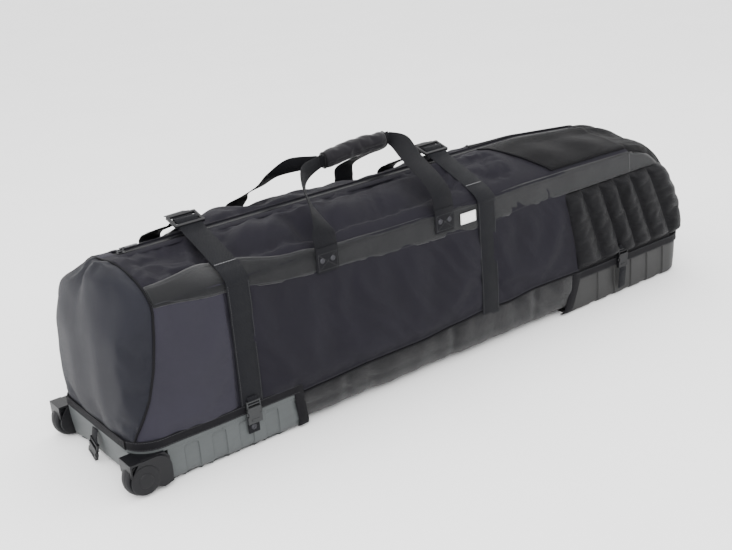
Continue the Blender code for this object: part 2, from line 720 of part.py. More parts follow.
def wheel_housing(side, sign):
    """Fork around a wheel, with an outer cheek and a pointed guard over the tread."""
    outline = [(-0.6670, HOUSING_TOP)]
    outline += arc((WHEEL_X, WHEEL_R), 0.0210, 128, 310, 10)
    outline += [(-0.6100, 0.0060), (HOUSING_FRONT, 0.0100)]
    outline += arc((-0.6220, 0.0385), 0.0240, 0, 90, 5)
    depth = HOUSING_OUT - HOUSING_IN
    part = plate(f"{side}_wheel_housing", outline, sign * (HOUSING_IN + depth / 2), depth,
                 "black_plastic")
    slot_half = WHEEL_WIDTH / 2 + 0.0010
    low, high = ordered((-0.700, sign * (WHEEL_Y - slot_half), -0.01),
                        (WHEEL_X + WHEEL_R + 0.0015, sign * (WHEEL_Y + slot_half), 0.10))
    cut(part, box_cutter(f"{side}_wheel_slot", low, high))
    bore = round_cutter(f"{side}_axle_bore", AXLE_R + GAP, 0.060,
                        (WHEEL_X, sign * WHEEL_Y, WHEEL_R), 24)
    cut(part, bore)


# ---- joint axes -------------------------------------------------------------------------
def axis_empty(name, location, members):
    """Empty on a joint's axis; its members keep their places in the world."""
    empty = bpy.data.objects.new(name, None)
    empty.empty_display_size = 0.05
    empty.location = location
    CASE.objects.link(empty)
    for member in members:
        part = bpy.data.objects[member]
        part.parent = empty
        part.location = Vector(part.location) - Vector(location)
    return empty


def joint_axes():
    for side, sign in SIDES:
        pivot = (0, sign * PIVOT_Y, PIVOT_Z)
        names = [f"{side}_top_flap", f"{side}_zip_tape"]
        names += [f"{side}_cross_strap_{number}" for number in (1, 2)]
        if side == "far":
            names += ["cross_buckle_1", "cross_buckle_2"]
        axis_empty(f"{side}_flap_axis", pivot, names)
        grip = ["grip_wrap"] if side == "near" else []
        axis_empty(f"{side}_handle_axis", pivot, [f"{side}_handle_strap"] + grip)
        axis_empty(f"{side}_wheel_axis", (WHEEL_X, sign * WHEEL_Y, WHEEL_R),
                   [f"{side}_tyre", f"{side}_wheel_hub", f"{side}_bearing_sleeve"])


def build():
    wheel_end_shell()
    head_end_shell()
    binding("wheel_shell_binding", -0.3440, -0.3500, -HALF_LENGTH)
    binding("head_shell_binding", 0.2890, 0.3150, HALF_LENGTH)
    side_walls()
    wheel_end_panel()
    head_end_hood()
    bottom_panel()
    liners()
    cinch_straps()
    flaps()
    zip_slider()
    cross_straps()
    side_straps()
    handles()
    shell_buckles()
    wheel_end_buckle()
    pull_handle()
    wheels()
    joint_axes()


build()
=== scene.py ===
"""Looks of the golf travel case: fabric, webbing, moulded trays, buckles and wheels."""
import json
import math

import bmesh
import bpy
from mathutils import Matrix, Vector, noise

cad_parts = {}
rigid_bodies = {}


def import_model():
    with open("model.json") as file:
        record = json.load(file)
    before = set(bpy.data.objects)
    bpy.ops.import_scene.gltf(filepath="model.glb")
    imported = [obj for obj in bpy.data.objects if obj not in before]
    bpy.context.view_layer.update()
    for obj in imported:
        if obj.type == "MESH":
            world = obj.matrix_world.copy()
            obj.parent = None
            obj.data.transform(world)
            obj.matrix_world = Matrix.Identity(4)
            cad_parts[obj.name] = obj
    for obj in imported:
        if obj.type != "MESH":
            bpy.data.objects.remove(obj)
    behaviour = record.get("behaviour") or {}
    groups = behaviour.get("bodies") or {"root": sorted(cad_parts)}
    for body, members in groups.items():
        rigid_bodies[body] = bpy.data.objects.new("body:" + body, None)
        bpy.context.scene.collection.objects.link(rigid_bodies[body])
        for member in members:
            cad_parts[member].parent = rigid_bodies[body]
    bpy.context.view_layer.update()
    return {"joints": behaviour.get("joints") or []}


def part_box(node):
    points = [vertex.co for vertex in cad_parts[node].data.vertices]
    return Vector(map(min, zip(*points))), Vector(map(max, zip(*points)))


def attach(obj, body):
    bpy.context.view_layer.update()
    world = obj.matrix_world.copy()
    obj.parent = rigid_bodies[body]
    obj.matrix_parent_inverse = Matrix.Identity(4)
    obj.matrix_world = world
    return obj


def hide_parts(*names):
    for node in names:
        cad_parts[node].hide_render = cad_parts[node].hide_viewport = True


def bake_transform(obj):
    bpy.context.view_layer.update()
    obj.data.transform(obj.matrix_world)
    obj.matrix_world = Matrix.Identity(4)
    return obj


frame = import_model()
SIDES = (("near", -1), ("far", 1))

# ---- places, all from the frame ---------------------------------------------------------
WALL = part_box("near_side_wall")
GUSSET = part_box("near_wheel_end_gusset")
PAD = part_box("near_ribbed_pad")
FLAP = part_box("near_top_flap")
WHEEL_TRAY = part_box("wheel_end_shell")
STRAPS = [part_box(f"near_side_strap_{n}") for n in (1, 2)]
JOINTS = {joint["name"]: joint for joint in frame["joints"]}

HALF = -WALL[0].y                       # half the width of the soft body
WALL_TOP = WALL[1].z
WALL_LOW = GUSSET[0].z
SEAM_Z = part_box("bottom_panel")[1].z
TRAY_TOP = WHEEL_TRAY[1].z
ZIP_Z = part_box("near_zip_tape")[0].z
FLAP_START, FLAP_END = FLAP[0].x, FLAP[1].x
STRAP_X = [(low.x + high.x) / 2 for low, high in STRAPS]
FEET = [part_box(f"near_{name}_handle_foot") for name in ("rear", "front")]
FOOT_X = [(low.x + high.x) / 2 for low, high in FEET]
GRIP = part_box("grip_wrap")
WEB = 0.0017                            # thicknesses of webbing and of cloth
CLOTH = 0.0016
STRAP_WIDTH = 0.042
HANDLE_WIDTH = 0.044
BUCKLE_WEB = 0.0190
PIPING = 0.0019
TRAY_CORNER = 0.048


def between(table, x):
    """The value at x of a table of x and value pairs, eased from one pair to the next."""
    if x <= table[0][0]:
        return table[0][1]
    for (x0, v0), (x1, v1) in zip(table, table[1:]):
        if x <= x1:
            t = (x - x0) / (x1 - x0)
            return v0 + (v1 - v0) * t * t * (3 - 2 * t)
    return table[-1][1]


def ease(low, high, x):
    t = min(max((x - low) / (high - low), 0.0), 1.0)
    return t * t * (3 - 2 * t)


# ---- materials --------------------------------------------------------------------------
class Nodes:
    """Short names for making a node material."""

    def __init__(self, name):
        self.material = bpy.data.materials.new(name)
        self.material.use_nodes = True
        self.tree = self.material.node_tree
        self.shader = self.tree.nodes["Principled BSDF"]
        coordinates = self.add("ShaderNodeTexCoord")
        self.place = coordinates.outputs["Object"]
        self.sheet = coordinates.outputs["UV"]

    def add(self, kind, **values):
        node = self.tree.nodes.new(kind)
        for key, value in values.items():
            setattr(node, key, value)
        return node

    def link(self, source, target):
        self.tree.links.new(source, target)

    def scaled(self, scale, rotation=(0, 0, 0)):
        node = self.add("ShaderNodeMapping")
        node.inputs["Scale"].default_value = scale
        node.inputs["Rotation"].default_value = rotation
        self.link(self.place, node.inputs["Vector"])
        return node.outputs["Vector"]

    def noise(self, scale, detail=3.0, stretch=(1, 1, 1), roughness=0.5):
        node = self.add("ShaderNodeTexNoise")
        node.inputs["Scale"].default_value = scale
        node.inputs["Detail"].default_value = detail
        node.inputs["Roughness"].default_value = roughness
        self.link(self.scaled(stretch), node.inputs["Vector"])
        return node.outputs["Fac"]

    def bands(self, pitch, degrees):
        """Even stripes of one pitch in metres, turned in the plane of the cloth."""
        node = self.add("ShaderNodeTexWave", wave_type="BANDS", bands_direction="X")
        node.inputs["Scale"].default_value = math.tau / 20 / pitch
        turn = self.add("ShaderNodeMapping")
        turn.inputs["Rotation"].default_value = (0, 0, math.radians(degrees))
        self.link(self.sheet, turn.inputs["Vector"])
        self.link(turn.outputs["Vector"], node.inputs["Vector"])
        return node.outputs["Fac"]

    def math(self, operation, a, b):
        node = self.add("ShaderNodeMath", operation=operation)
        for socket, value in zip(node.inputs, (a, b)):
            if isinstance(value, (int, float)):
                socket.default_value = value
            else:
                self.link(value, socket)
        return node.outputs[0]

    def ramp(self, fac, stops):
        node = self.add("ShaderNodeValToRGB")
        ramp = node.color_ramp
        while len(ramp.elements) < len(stops):
            ramp.elements.new(0.5)
        for element, (position, color) in zip(ramp.elements, stops):
            element.position = position
            element.color = (*color, 1.0)
        self.link(fac, node.inputs["Fac"])
        return node.outputs["Color"]

    def bump(self, height, distance, normal=None, strength=1.0):
        node = self.add("ShaderNodeBump")
        node.inputs["Distance"].default_value = distance
        node.inputs["Strength"].default_value = strength
        self.link(height, node.inputs["Height"])
        if normal is not None:
            self.link(normal, node.inputs["Normal"])
        return node.outputs["Normal"]

    def range(self, fac, low, high):
        node = self.add("ShaderNodeMapRange")
        node.inputs["To Min"].default_value = low
        node.inputs["To Max"].default_value = high
        self.link(fac, node.inputs["Value"])
        return node.outputs["Result"]

    def set(self, **values):
        for key, value in values.items():
            self.shader.inputs[key.replace("_", " ")].default_value = value


def tint(color, factor):
    return tuple(min(channel * factor, 1.0) for channel in color)


def woven(name, color, roughness=0.72, pitch=0.0011, crease=0.0009, sheen=0.02, mottle=0.14,
          specular=0.12):
    """Woven polyester: a plain weave, small creases and slightly uneven dye."""
    n = Nodes(name)
    across = n.bands(pitch, 0)
    along = n.bands(pitch, 90)
    weave = n.math("MULTIPLY", across, along)
    patches = n.noise(7.0, 4.0)
    fibre = n.noise(900.0, 2.0)
    shade = n.math("ADD", n.math("MULTIPLY", patches, 0.75), n.math("MULTIPLY", fibre, 0.25))
    n.link(n.ramp(shade, [(0.30, tint(color, 1 - mottle)), (0.70, tint(color, 1 + mottle))]),
           n.shader.inputs["Base Color"])
    n.link(n.range(patches, roughness - 0.08, roughness + 0.08), n.shader.inputs["Roughness"])
    creases = n.noise(38.0, 5.0, (1.0, 1.0, 0.55), 0.62)
    coarse = n.bump(creases, crease)
    n.link(n.bump(weave, pitch * 0.30, coarse), n.shader.inputs["Normal"])
    n.set(Sheen_Weight=sheen, Sheen_Roughness=0.45, Specular_IOR_Level=specular)
    return n.material


def webbing(name, color, roughness=0.66):
    """Nylon webbing: fine ribs across it and a twill along it."""
    n = Nodes(name)
    twill = n.bands(0.0024, 28)
    ribs = n.bands(0.0015, 90)
    fibre = n.noise(1200.0, 2.0)
    shade = n.math("ADD", n.math("MULTIPLY", twill, 0.5), n.math("MULTIPLY", fibre, 0.5))
    n.link(n.ramp(shade, [(0.15, tint(color, 0.72)), (0.85, tint(color, 1.30))]),
           n.shader.inputs["Base Color"])
    coarse = n.bump(n.math("ADD", twill, ribs), 0.00035)
    n.link(n.bump(fibre, 0.00015, coarse), n.shader.inputs["Normal"])
    n.link(n.range(n.noise(60.0), roughness - 0.07, roughness + 0.07),
           n.shader.inputs["Roughness"])
    n.set(Sheen_Weight=0.02, Sheen_Roughness=0.4, Specular_IOR_Level=0.12)
    return n.material


def moulded(name, color, roughness=0.48, grain=0.00010, scuff=0.10):
    """Moulded plastic: fine spark grain, faint flow marks and light scuffs."""
    n = Nodes(name)
    flow = n.noise(9.0, 3.0, (1.0, 1.0, 2.5))
    scuffs = n.noise(55.0, 6.0, (1.0, 1.0, 4.0), 0.7)
    shade = n.math("ADD", n.math("MULTIPLY", flow, 0.6), n.math("MULTIPLY", scuffs, 0.4))
    n.link(n.ramp(shade, [(0.35, tint(color, 1 - scuff)), (0.65, tint(color, 1 + scuff))]),
           n.shader.inputs["Base Color"])
    n.link(n.range(scuffs, roughness - 0.10, roughness + 0.12), n.shader.inputs["Roughness"])
    n.link(n.bump(n.noise(1500.0, 2.0), grain), n.shader.inputs["Normal"])
    n.set(Specular_IOR_Level=0.22)
    return n.material


def metal(name, color, roughness):
    n = Nodes(name)
    brushed = n.noise(420.0, 3.0, (1.0, 12.0, 1.0))
    n.link(n.ramp(brushed, [(0.3, tint(color, 0.85)), (0.7, tint(color, 1.12))]),
           n.shader.inputs["Base Color"])
    n.link(n.range(brushed, roughness - 0.06, roughness + 0.10), n.shader.inputs["Roughness"])
    n.link(n.bump(brushed, 0.00005), n.shader.inputs["Normal"])
    n.set(Metallic=1.0)
    return n.material


def plain(name, color, roughness, **more):
    n = Nodes(name)
    mottle = n.noise(300.0, 2.0)
    n.link(n.ramp(mottle, [(0.3, tint(color, 0.9)), (0.7, tint(color, 1.1))]),
           n.shader.inputs["Base Color"])
    n.set(Roughness=roughness, **more)
    return n.material


LOOKS = {
    "black_fabric": woven("black_weave", (0.0070, 0.0062, 0.0100)),
    "charcoal_fabric": woven("charcoal_weave", (0.0190, 0.0176, 0.0255), 0.66, crease=0.0005),
    "end_fabric": woven("end_weave", (0.0095, 0.0097, 0.0140), 0.52, 0.0009, 0.0007),
    "black_webbing": webbing("black_webbing", (0.0046, 0.0048, 0.0064)),
    "binding_tape": webbing("binding_tape", (0.0040, 0.0037, 0.0050), 0.75),
    "grey_shell": moulded("grey_tray_plastic", (0.0560, 0.0610, 0.0620), 0.50),
    "dark_shell": moulded("dark_tray_plastic", (0.0220, 0.0220, 0.0220), 0.50),
    "black_plastic": moulded("black_acetal", (0.0040, 0.0040, 0.0050), 0.40),
    "tyre_rubber": moulded("wheel_tread", (0.0040, 0.0040, 0.0052), 0.50, 0.00006),
    "hub_plastic": moulded("hub_nylon", (0.0150, 0.0150, 0.0170), 0.42),
    "bearing_steel": metal("bearing_steel", (0.55, 0.55, 0.56), 0.28),
    "axle_steel": metal("axle_steel", (0.42, 0.42, 0.43), 0.35),
    "foam_liner": woven("liner_cloth", (0.075, 0.075, 0.085), 0.85, 0.0014, 0.0008),
    "zip_tape": webbing("zip_tape", (0.0140, 0.0140, 0.0165), 0.72),
    "zip_metal": metal("zip_metal", (0.060, 0.060, 0.065), 0.45),
}
QUILT_LOOK = woven("quilted_weave", (0.0030, 0.0029, 0.0038), 0.46, 0.0010, 0.0006)
HOOD_LOOK = woven("hood_weave", (0.0024, 0.0023, 0.0030), 0.62, specular=0.06)
HANDLE_LOOK = webbing("handle_webbing", (0.0034, 0.0034, 0.0048))
THREAD = plain("sewing_thread", (0.012, 0.012, 0.015), 0.6, Sheen_Weight=0.02)
PALE_THREAD = plain("pale_thread", (0.140, 0.140, 0.145), 0.6, Sheen_Weight=0.02)
LABEL_LOOK = plain("blank_label", (0.80, 0.80, 0.79), 0.55)


# ---- pieces -----------------------------------------------------------------------------
def piece(name, mesh, look, body, slot=None, replaced=()):
    """Puts one mesh in the scene on its body, with its look and what it stands for."""
    made = bpy.data.objects.new(name, mesh)
    bpy.context.scene.collection.objects.link(made)
    mesh.materials.clear()
    mesh.materials.append(look if look is not None else LOOKS[slot])
    if body is not None:
        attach(made, body)
    if replaced:
        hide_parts(*replaced)
    return made


def smooth(mesh, angle=40):
    mesh.shade_smooth()
    mesh.set_sharp_from_angle(angle=math.radians(angle))


def mesh_from(name, verts, faces, angle=40):
    mesh = bpy.data.meshes.new(name)
    mesh.from_pydata([tuple(v) for v in verts], [], faces)
    mesh.validate()
    bm = bmesh.new()
    bm.from_mesh(mesh)
    bmesh.ops.recalc_face_normals(bm, faces=bm.faces)
    bm.to_mesh(mesh)
    bm.free()
    smooth(mesh, angle)
    return mesh


def quads(wide, rows):
    """Faces between rows of wide vertices."""
    return [(j * wide + i, j * wide + i + 1, (j + 1) * wide + i + 1, (j + 1) * wide + i)
            for j in range(rows) for i in range(wide - 1)]


def tube_faces(count, around):
    """Faces of a tube of count rings of vertices, closed at its two ends."""
    faces = [(k * around + i, k * around + (i + 1) % around,
              (k + 1) * around + (i + 1) % around, (k + 1) * around + i)
             for k in range(count - 1) for i in range(around)]
    faces.append(tuple(range(around)))
    faces.append(tuple((count - 1) * around + i for i in reversed(range(around))))
    return faces


def grid_mesh(name, surface, columns, rows, outward):
    """An open surface of quads; outward is a rough direction for its normals."""
    verts = [Vector(surface(i / columns, j / rows))
             for j in range(rows + 1) for i in range(columns + 1)]
    wide = columns + 1
    faces = quads(wide, rows)
    mesh = bpy.data.meshes.new(name)
    mesh.from_pydata([tuple(v) for v in verts], [], faces)
    middle = mesh.polygons[len(faces) // 2 + columns // 2]
    if middle.normal.dot(Vector(outward)) < 0:
        mesh.flip_normals()
    mesh.shade_smooth()
    lay_flat(mesh, verts, wide)
    return mesh


def lay_flat(mesh, verts, wide):
    """UVs in metres for a mesh made of rows of wide vertices: lengths along and up."""
    rows = len(verts) // wide
    along = [0.0]
    for i in range(1, wide):
        start = (rows // 2) * wide
        along.append(along[-1] + (verts[start + i] - verts[start + i - 1]).length)
    up = [0.0]
    for j in range(1, rows):
        middle = wide // 2
        up.append(up[-1] + (verts[j * wide + middle] - verts[(j - 1) * wide + middle]).length)
    layer = mesh.uv_layers.new(name="cloth")
    for loop in mesh.loops:
        index = loop.vertex_index
        row = index // wide
        layer.data[loop.index].uv = (along[index % wide], up[row]) if row < rows else (0, 0)


def thicken(made, thickness=CLOTH, offset=-1.0):
    solidify = made.modifiers.new("thickness", "SOLIDIFY")
    solidify.thickness = thickness
    solidify.offset = offset
    return solidify


def soften(made, width=0.0008, segments=2, angle=35):
    bevel = made.modifiers.new("edges", "BEVEL")
    bevel.width = width
    bevel.segments = segments
    bevel.limit_method = "ANGLE"
    bevel.angle_limit = math.radians(angle)
    return bevel


def along_curve(points, steps):
    """Points on a smooth curve through the given ones, steps to a stretch."""
    points = [Vector(p) for p in points]
    ends = [2 * points[0] - points[1]] + points + [2 * points[-1] - points[-2]]
    result = []
    for a, b, c, d in zip(ends, ends[1:], ends[2:], ends[3:]):
        for step in range(steps):
            t = step / steps
            result.append(0.5 * ((2 * b) + (c - a) * t + (2 * a - 5 * b + 4 * c - d) * t * t
                                 + (3 * b - a - 3 * c + d) * t * t * t))
    result.append(points[-1])
    return result


def strap_mesh(name, route, width, thickness=WEB, steps=6):
    """Webbing with rounded edges along a route of points and directions across it."""
    points = along_curve([p for p, _ in route], steps)
    edges = along_curve([e for _, e in route], steps)
    half_t = thickness / 2
    verts = []
    for index, (point, edge) in enumerate(zip(points, edges)):
        ahead = points[min(index + 1, len(points) - 1)] - points[max(index - 1, 0)]
        share = edge.length
        edge = edge.normalized()
        normal = ahead.cross(edge).normalized()
        half_w = width / 2 * min(share, 1.0)
        inner = half_w - half_t
        for a, b in ((-half_w, 0), (-inner, half_t), (inner, half_t),
                     (half_w, 0), (inner, -half_t), (-inner, -half_t)):
            verts.append(point + edge * a + normal * b)
    mesh = mesh_from(name, verts, tube_faces(len(points), 6), 50)
    run = [0.0]
    for a, b in zip(points, points[1:]):
        run.append(run[-1] + (b - a).length)
    across = (-0.5, -0.48, 0.48, 0.5, 0.48, -0.48)
    layer = mesh.uv_layers.new(name="cloth")
    for loop in mesh.loops:
        index = loop.vertex_index
        layer.data[loop.index].uv = (across[index % 6] * width, run[index // 6])
    return mesh


def tube_mesh(name, points, radius, sides=8, steps=4):
    """A round cord through the points."""
    points = along_curve(points, steps)
    verts = []
    last = Vector((0, 0, 1))
    for index, point in enumerate(points):
        ahead = (points[min(index + 1, len(points) - 1)] - points[max(index - 1, 0)]).normalized()
        first = (last - ahead * last.dot(ahead))
        if first.length < 1e-4:
            first = ahead.orthogonal()
        first.normalize()
        second = ahead.cross(first)
        last = first
        for side in range(sides):
            turn = math.tau * side / sides
            verts.append(point + (first * math.cos(turn) + second * math.sin(turn)) * radius)
    return mesh_from(name, verts, tube_faces(len(points), sides), 60)


def prism(outline, low, high, to_world):
    """An outline in two directions made thick in the third, as vertices and faces."""
    count = len(outline)
    verts = [to_world(a, b, low) for a, b in outline]
    verts += [to_world(a, b, high) for a, b in outline]
    faces = [tuple(range(count)), tuple(reversed(range(count, 2 * count)))]
    faces += [(i, (i + 1) % count, count + (i + 1) % count, count + i) for i in range(count)]
    return verts, faces


def joined(name, solids, angle=40):
    """Several prisms in one mesh."""
    verts, faces = [], []
    for more_verts, more_faces in solids:
        start = len(verts)
        verts += more_verts
        faces += [tuple(start + i for i in face) for face in more_faces]
    return mesh_from(name, verts, faces, angle)


def rounded_box(x0, x1, y0, y1, radius, steps=4):
    """Outline of a rectangle with round corners."""
    points = []
    for cx, cy, start in ((x1 - radius, y1 - radius, 0), (x0 + radius, y1 - radius, 90),
                          (x0 + radius, y0 + radius, 180), (x1 - radius, y0 + radius, 270)):
        for step in range(steps + 1):
            turn = math.radians(start + 90 * step / steps)
            points.append((cx + radius * math.cos(turn), cy + radius * math.sin(turn)))
    return points


def stitches(name, path, normal, body, look=None, pitch=0.0042, length=0.0029, half=0.00035):
    """A row of sewn stitches along a path on a surface."""
    look = look or THREAD
    solids = []
    carried = 0.0
    for start, end in zip(path, path[1:]):
        start, end = Vector(start), Vector(end)
        run = (end - start).length
        if run < 1e-6:
            continue
        ahead = (end - start) / run
        out = Vector(normal(start) if callable(normal) else normal)
        out = (out - ahead * out.dot(ahead)).normalized()
        across = ahead.cross(out)
        place = carried
        while place < run:
            middle = start + ahead * place + out * half * 0.6
            corners = []
            for a, b, c in ((-1, -1, 0), (-1, 1, 0), (1, 1, 0), (1, -1, 0),
                            (-0.7, -0.6, 1), (-0.7, 0.6, 1), (0.7, 0.6, 1), (0.7, -0.6, 1)):
                corners.append(middle + ahead * a * length / 2 + across * b * half
                               + out * c * half)
            solids.append((corners, [(0, 1, 2, 3), (7, 6, 5, 4), (0, 4, 5, 1), (1, 5, 6, 2),
                                     (2, 6, 7, 3), (3, 7, 4, 0)]))
            place += pitch
        carried = place - run
    return piece(name, joined(name, solids, 80), look, body, "black_webbing")


# ---- the shape of the soft body ---------------------------------------------------------
ROOF_EDGE = 0.3012
CROWN = ((-0.583, 0.345), (-0.450, 0.335), (-0.345, 0.367), (-0.235, 0.365), (-0.110, 0.355),
         (0.010, 0.357), (0.130, 0.351), (0.260, 0.341), (0.370, 0.329), (0.470, 0.318))
FAR_EDGE = ((-0.583, 0.2720), (-0.450, 0.2900), (-0.330, 0.3020), (-0.200, 0.3000),
            (0.000, 0.2900), (0.200, 0.2790), (0.350, 0.2720), (0.470, 0.2680))
BAND_START = -0.5860
REAR_X = -0.5830                        # where the roof meets the wheel end's seam
EDGE_DROP = 0.0060                      # how far the roof's round edge drops to the side
NEAR_POWER = ((-0.583, 2.8), (-0.450, 1.55), (0.470, 1.55))
HEAD_X = 0.4700                         # from here on the head end curves down
CORNER_X, CORNER_Y = 0.6020, 0.0920     # middle of the round corner of the head end
BAND_LOW = ((-0.580, 0.293), (-0.470, 0.282), (-0.325, 0.266), (-0.224, 0.261),
            (-0.118, 0.254), (-0.027, 0.251), (0.068, 0.244), (0.180, 0.254), (0.500, 0.254))
BAND_HIGH = ((-0.580, 0.3200), (-0.470, 0.3190), (-0.325, 0.3060), (-0.224, 0.3000),
             (-0.118, 0.2980), (-0.027, 0.2970), (0.068, 0.2960), (0.180, 0.2990),
             (0.500, 0.2960))
# Swellings and dents of the filled fabric: x, y, reach along x, reach across, height.
SWELLS = ((-0.365, 0.080, 0.070, 0.042, 0.0190), (-0.272, 0.092, 0.021, 0.050, -0.0230),
          (-0.190, 0.085, 0.060, 0.040, 0.0130), (-0.020, 0.100, 0.026, 0.035, -0.0140),
          (-0.520, 0.080, 0.045, 0.035, 0.0040), (-0.4425, 0.070, 0.030, 0.070, -0.0110),
          (0.0805, 0.070, 0.026, 0.070, -0.0050), (0.160, 0.080, 0.060, 0.040, 0.0050),
          (0.290, 0.085, 0.050, 0.035, 0.0045), (0.400, 0.085, 0.040, 0.040, 0.0060),
          (-0.090, 0.075, 0.055, 0.045, 0.0090))
WALL_SWELLS = ((-0.300, 0.190, 0.120, 0.055, 0.0050), (-0.080, 0.180, 0.120, 0.060, 0.0060),
               (0.200, 0.180, 0.070, 0.055, 0.0050), (0.0805, 0.180, 0.018, 0.100, -0.0030),
               (-0.4425, 0.180, 0.020, 0.100, -0.0020), (-0.530, 0.190, 0.050, 0.060, 0.0035),
               (-0.273, 0.235, 0.030, 0.018, -0.0030), (-0.020, 0.235, 0.030, 0.018, -0.0025))


def swelling(table, x, across, seed):
    """Sum of soft swellings, with the two sides of the case a little different."""
    total = 0.0
    for px, py, rx, ry, height in table:
        far = ((x - px) / rx) ** 2 + ((across - py) / ry) ** 2
        if far < 9:
            total += height * math.exp(-far)
    waves = noise.noise(Vector((x * 13 + seed, across * 17, seed * 2.3)))
    return total + 0.0016 * waves


def creases(x, across, seed, slant=0.6, size=0.0013):
    """Long soft folds that run slanted over the fabric."""
    bend = 0.35 * noise.noise(Vector((x * 9, across * 9, seed)))
    fold = noise.noise(Vector(((x + slant * across) * 34 + bend * 3, across * 7, seed + 4)))
    return size * (1 - abs(fold) * 2.2)


def side_out(x, z, sign=-1):
    """How far the side of the fabric stands from the middle."""
    share = min(max((z - SEAM_Z) / (WALL_TOP - SEAM_Z), 0.0), 1.0)
    full = math.sin(math.pi * share) ** 0.7 if 0 < share < 1 else 0.0
    out = HALF + full * (0.0032 + swelling(WALL_SWELLS, x, z, 3.1 * sign))
    past = -0.602 - x
    if past > 0:
        out -= TRAY_CORNER - math.sqrt(max(TRAY_CORNER ** 2 - past ** 2, 0.0))
    return out


def roof_edge(x, sign):
    """Height where the side turns into the top; the far side of the head end sags."""
    return ROOF_EDGE if sign < 0 else between(FAR_EDGE, x) + 0.0052


def roof_base(x, turn, sign):
    """Height and slope of the top at x without its swellings."""
    share = 1 - turn
    power = between(NEAR_POWER, x) if sign < 0 else 1.20
    edge = roof_edge(x, sign)
    rise = between(CROWN, x) - edge
    corner = max(1 - turn / 0.14, 0.0)
    z = edge + rise * (1 - share ** power) - EDGE_DROP * corner ** 2
    slope = rise * power * share ** (power - 1) / HALF + 0.1714 * corner
    return z, slope


def roof_point(x, turn, sign, lift=0.0):
    """The closed top at x, from the shoulder (turn 0) to the zip (turn 1)."""
    y = HALF * (1 - turn)
    z, slope = roof_base(x, turn, sign)
    valley = ease(0.042, 0.012, y)
    floor = ZIP_Z + 0.002 - max(x - 0.30, 0) * 0.09
    z += (floor - z) * valley * (1.0 if x > -0.57 else 0.4)
    loose = math.sin(math.pi * min(turn * 1.15, 1.0)) * (1 - valley)
    z += loose * swelling(SWELLS, x, y, 1.7 * sign)
    up = 1 / math.sqrt(1 + slope * slope)
    return Vector((x, sign * (max(y, 0.0006) + lift * slope * up), z + lift * up))


def roof_turn(x, z, sign):
    """Where the roof reaches a height near the shoulder."""
    low, high = 0.0, 0.8
    for _ in range(18):
        middle = (low + high) / 2
        if roof_base(x, middle, sign)[0] < z:
            low = middle
        else:
            high = middle
    return low


def shoulder_point(x, z, sign, lift=0.0):
    """On the side below the roof's edge and on the shoulder above it."""
    if z <= roof_edge(x, sign) - EDGE_DROP:
        return Vector((x, sign * (side_out(x, z, sign) + lift), z))
    return roof_point(x, roof_turn(x, z, sign), sign, lift)


def evened(surface, count, fine=240):
    """Turns that split the roof's width in even lengths."""
    points = [surface(i / fine) for i in range(fine + 1)]
    lengths = [0.0]
    for a, b in zip(points, points[1:]):
        lengths.append(lengths[-1] + (b - a).length)
    turns = []
    place = 0
    for i in range(count + 1):
        goal = lengths[-1] * i / count
        while place < fine - 1 and lengths[place + 1] < goal:
            place += 1
        span = max(lengths[place + 1] - lengths[place], 1e-9)
        turns.append((place + min((goal - lengths[place]) / span, 1.0)) / fine)
    return turns


def head_top(sign):
    """Height of the sides of the head end."""
    return roof_edge(HEAD_X, sign) - EDGE_DROP


def head_fall(z, top):
    """Share of its reach that the head end still has at a height."""
    rise = min(max((z - WALL_LOW) / (top - WALL_LOW), 0.0), 1.0)
    return math.sqrt(1 - rise * rise)


def hood_point(t, across):
    """The head end, from its top (t 0) to its foot (t 1), across from -1 to 1."""
    sign = 1 if across >= 0 else -1
    top = roof_point(HEAD_X, 1 - min(abs(across), 1.0), sign)
    y = abs(top.y)
    past = max(y - CORNER_Y, 0.0)
    reach = CORNER_X + math.sqrt(max(TRAY_CORNER ** 2 - past ** 2, 0.0))
    along = math.radians(90) * (1 - t)
    x = HEAD_X + (reach - HEAD_X) * math.cos(along)
    return Vector((x, top.y, WALL_LOW + (top.z - WALL_LOW) * math.sin(along)))


def head_side(x, z, sign, lift=0.0):
    """The near or far side of the head end, going round its corner."""
    top = head_top(sign)
    fall = head_fall(min(z, top - 0.0004), top)
    reach = HEAD_X + (x - HEAD_X) / fall if x > HEAD_X else x
    past = min(max(reach - CORNER_X, 0.0), TRAY_CORNER * 0.96)
    turn = math.asin(past / TRAY_CORNER)
    y = CORNER_Y + TRAY_CORNER * math.cos(turn)
    return Vector((x + lift * math.sin(turn), sign * (y + lift * math.cos(turn)), z))


def head_back(z, reach, sign):
    """X at a height of the line that meets the foot of the head end at reach."""
    return HEAD_X + (reach - HEAD_X) * head_fall(z, head_top(sign))


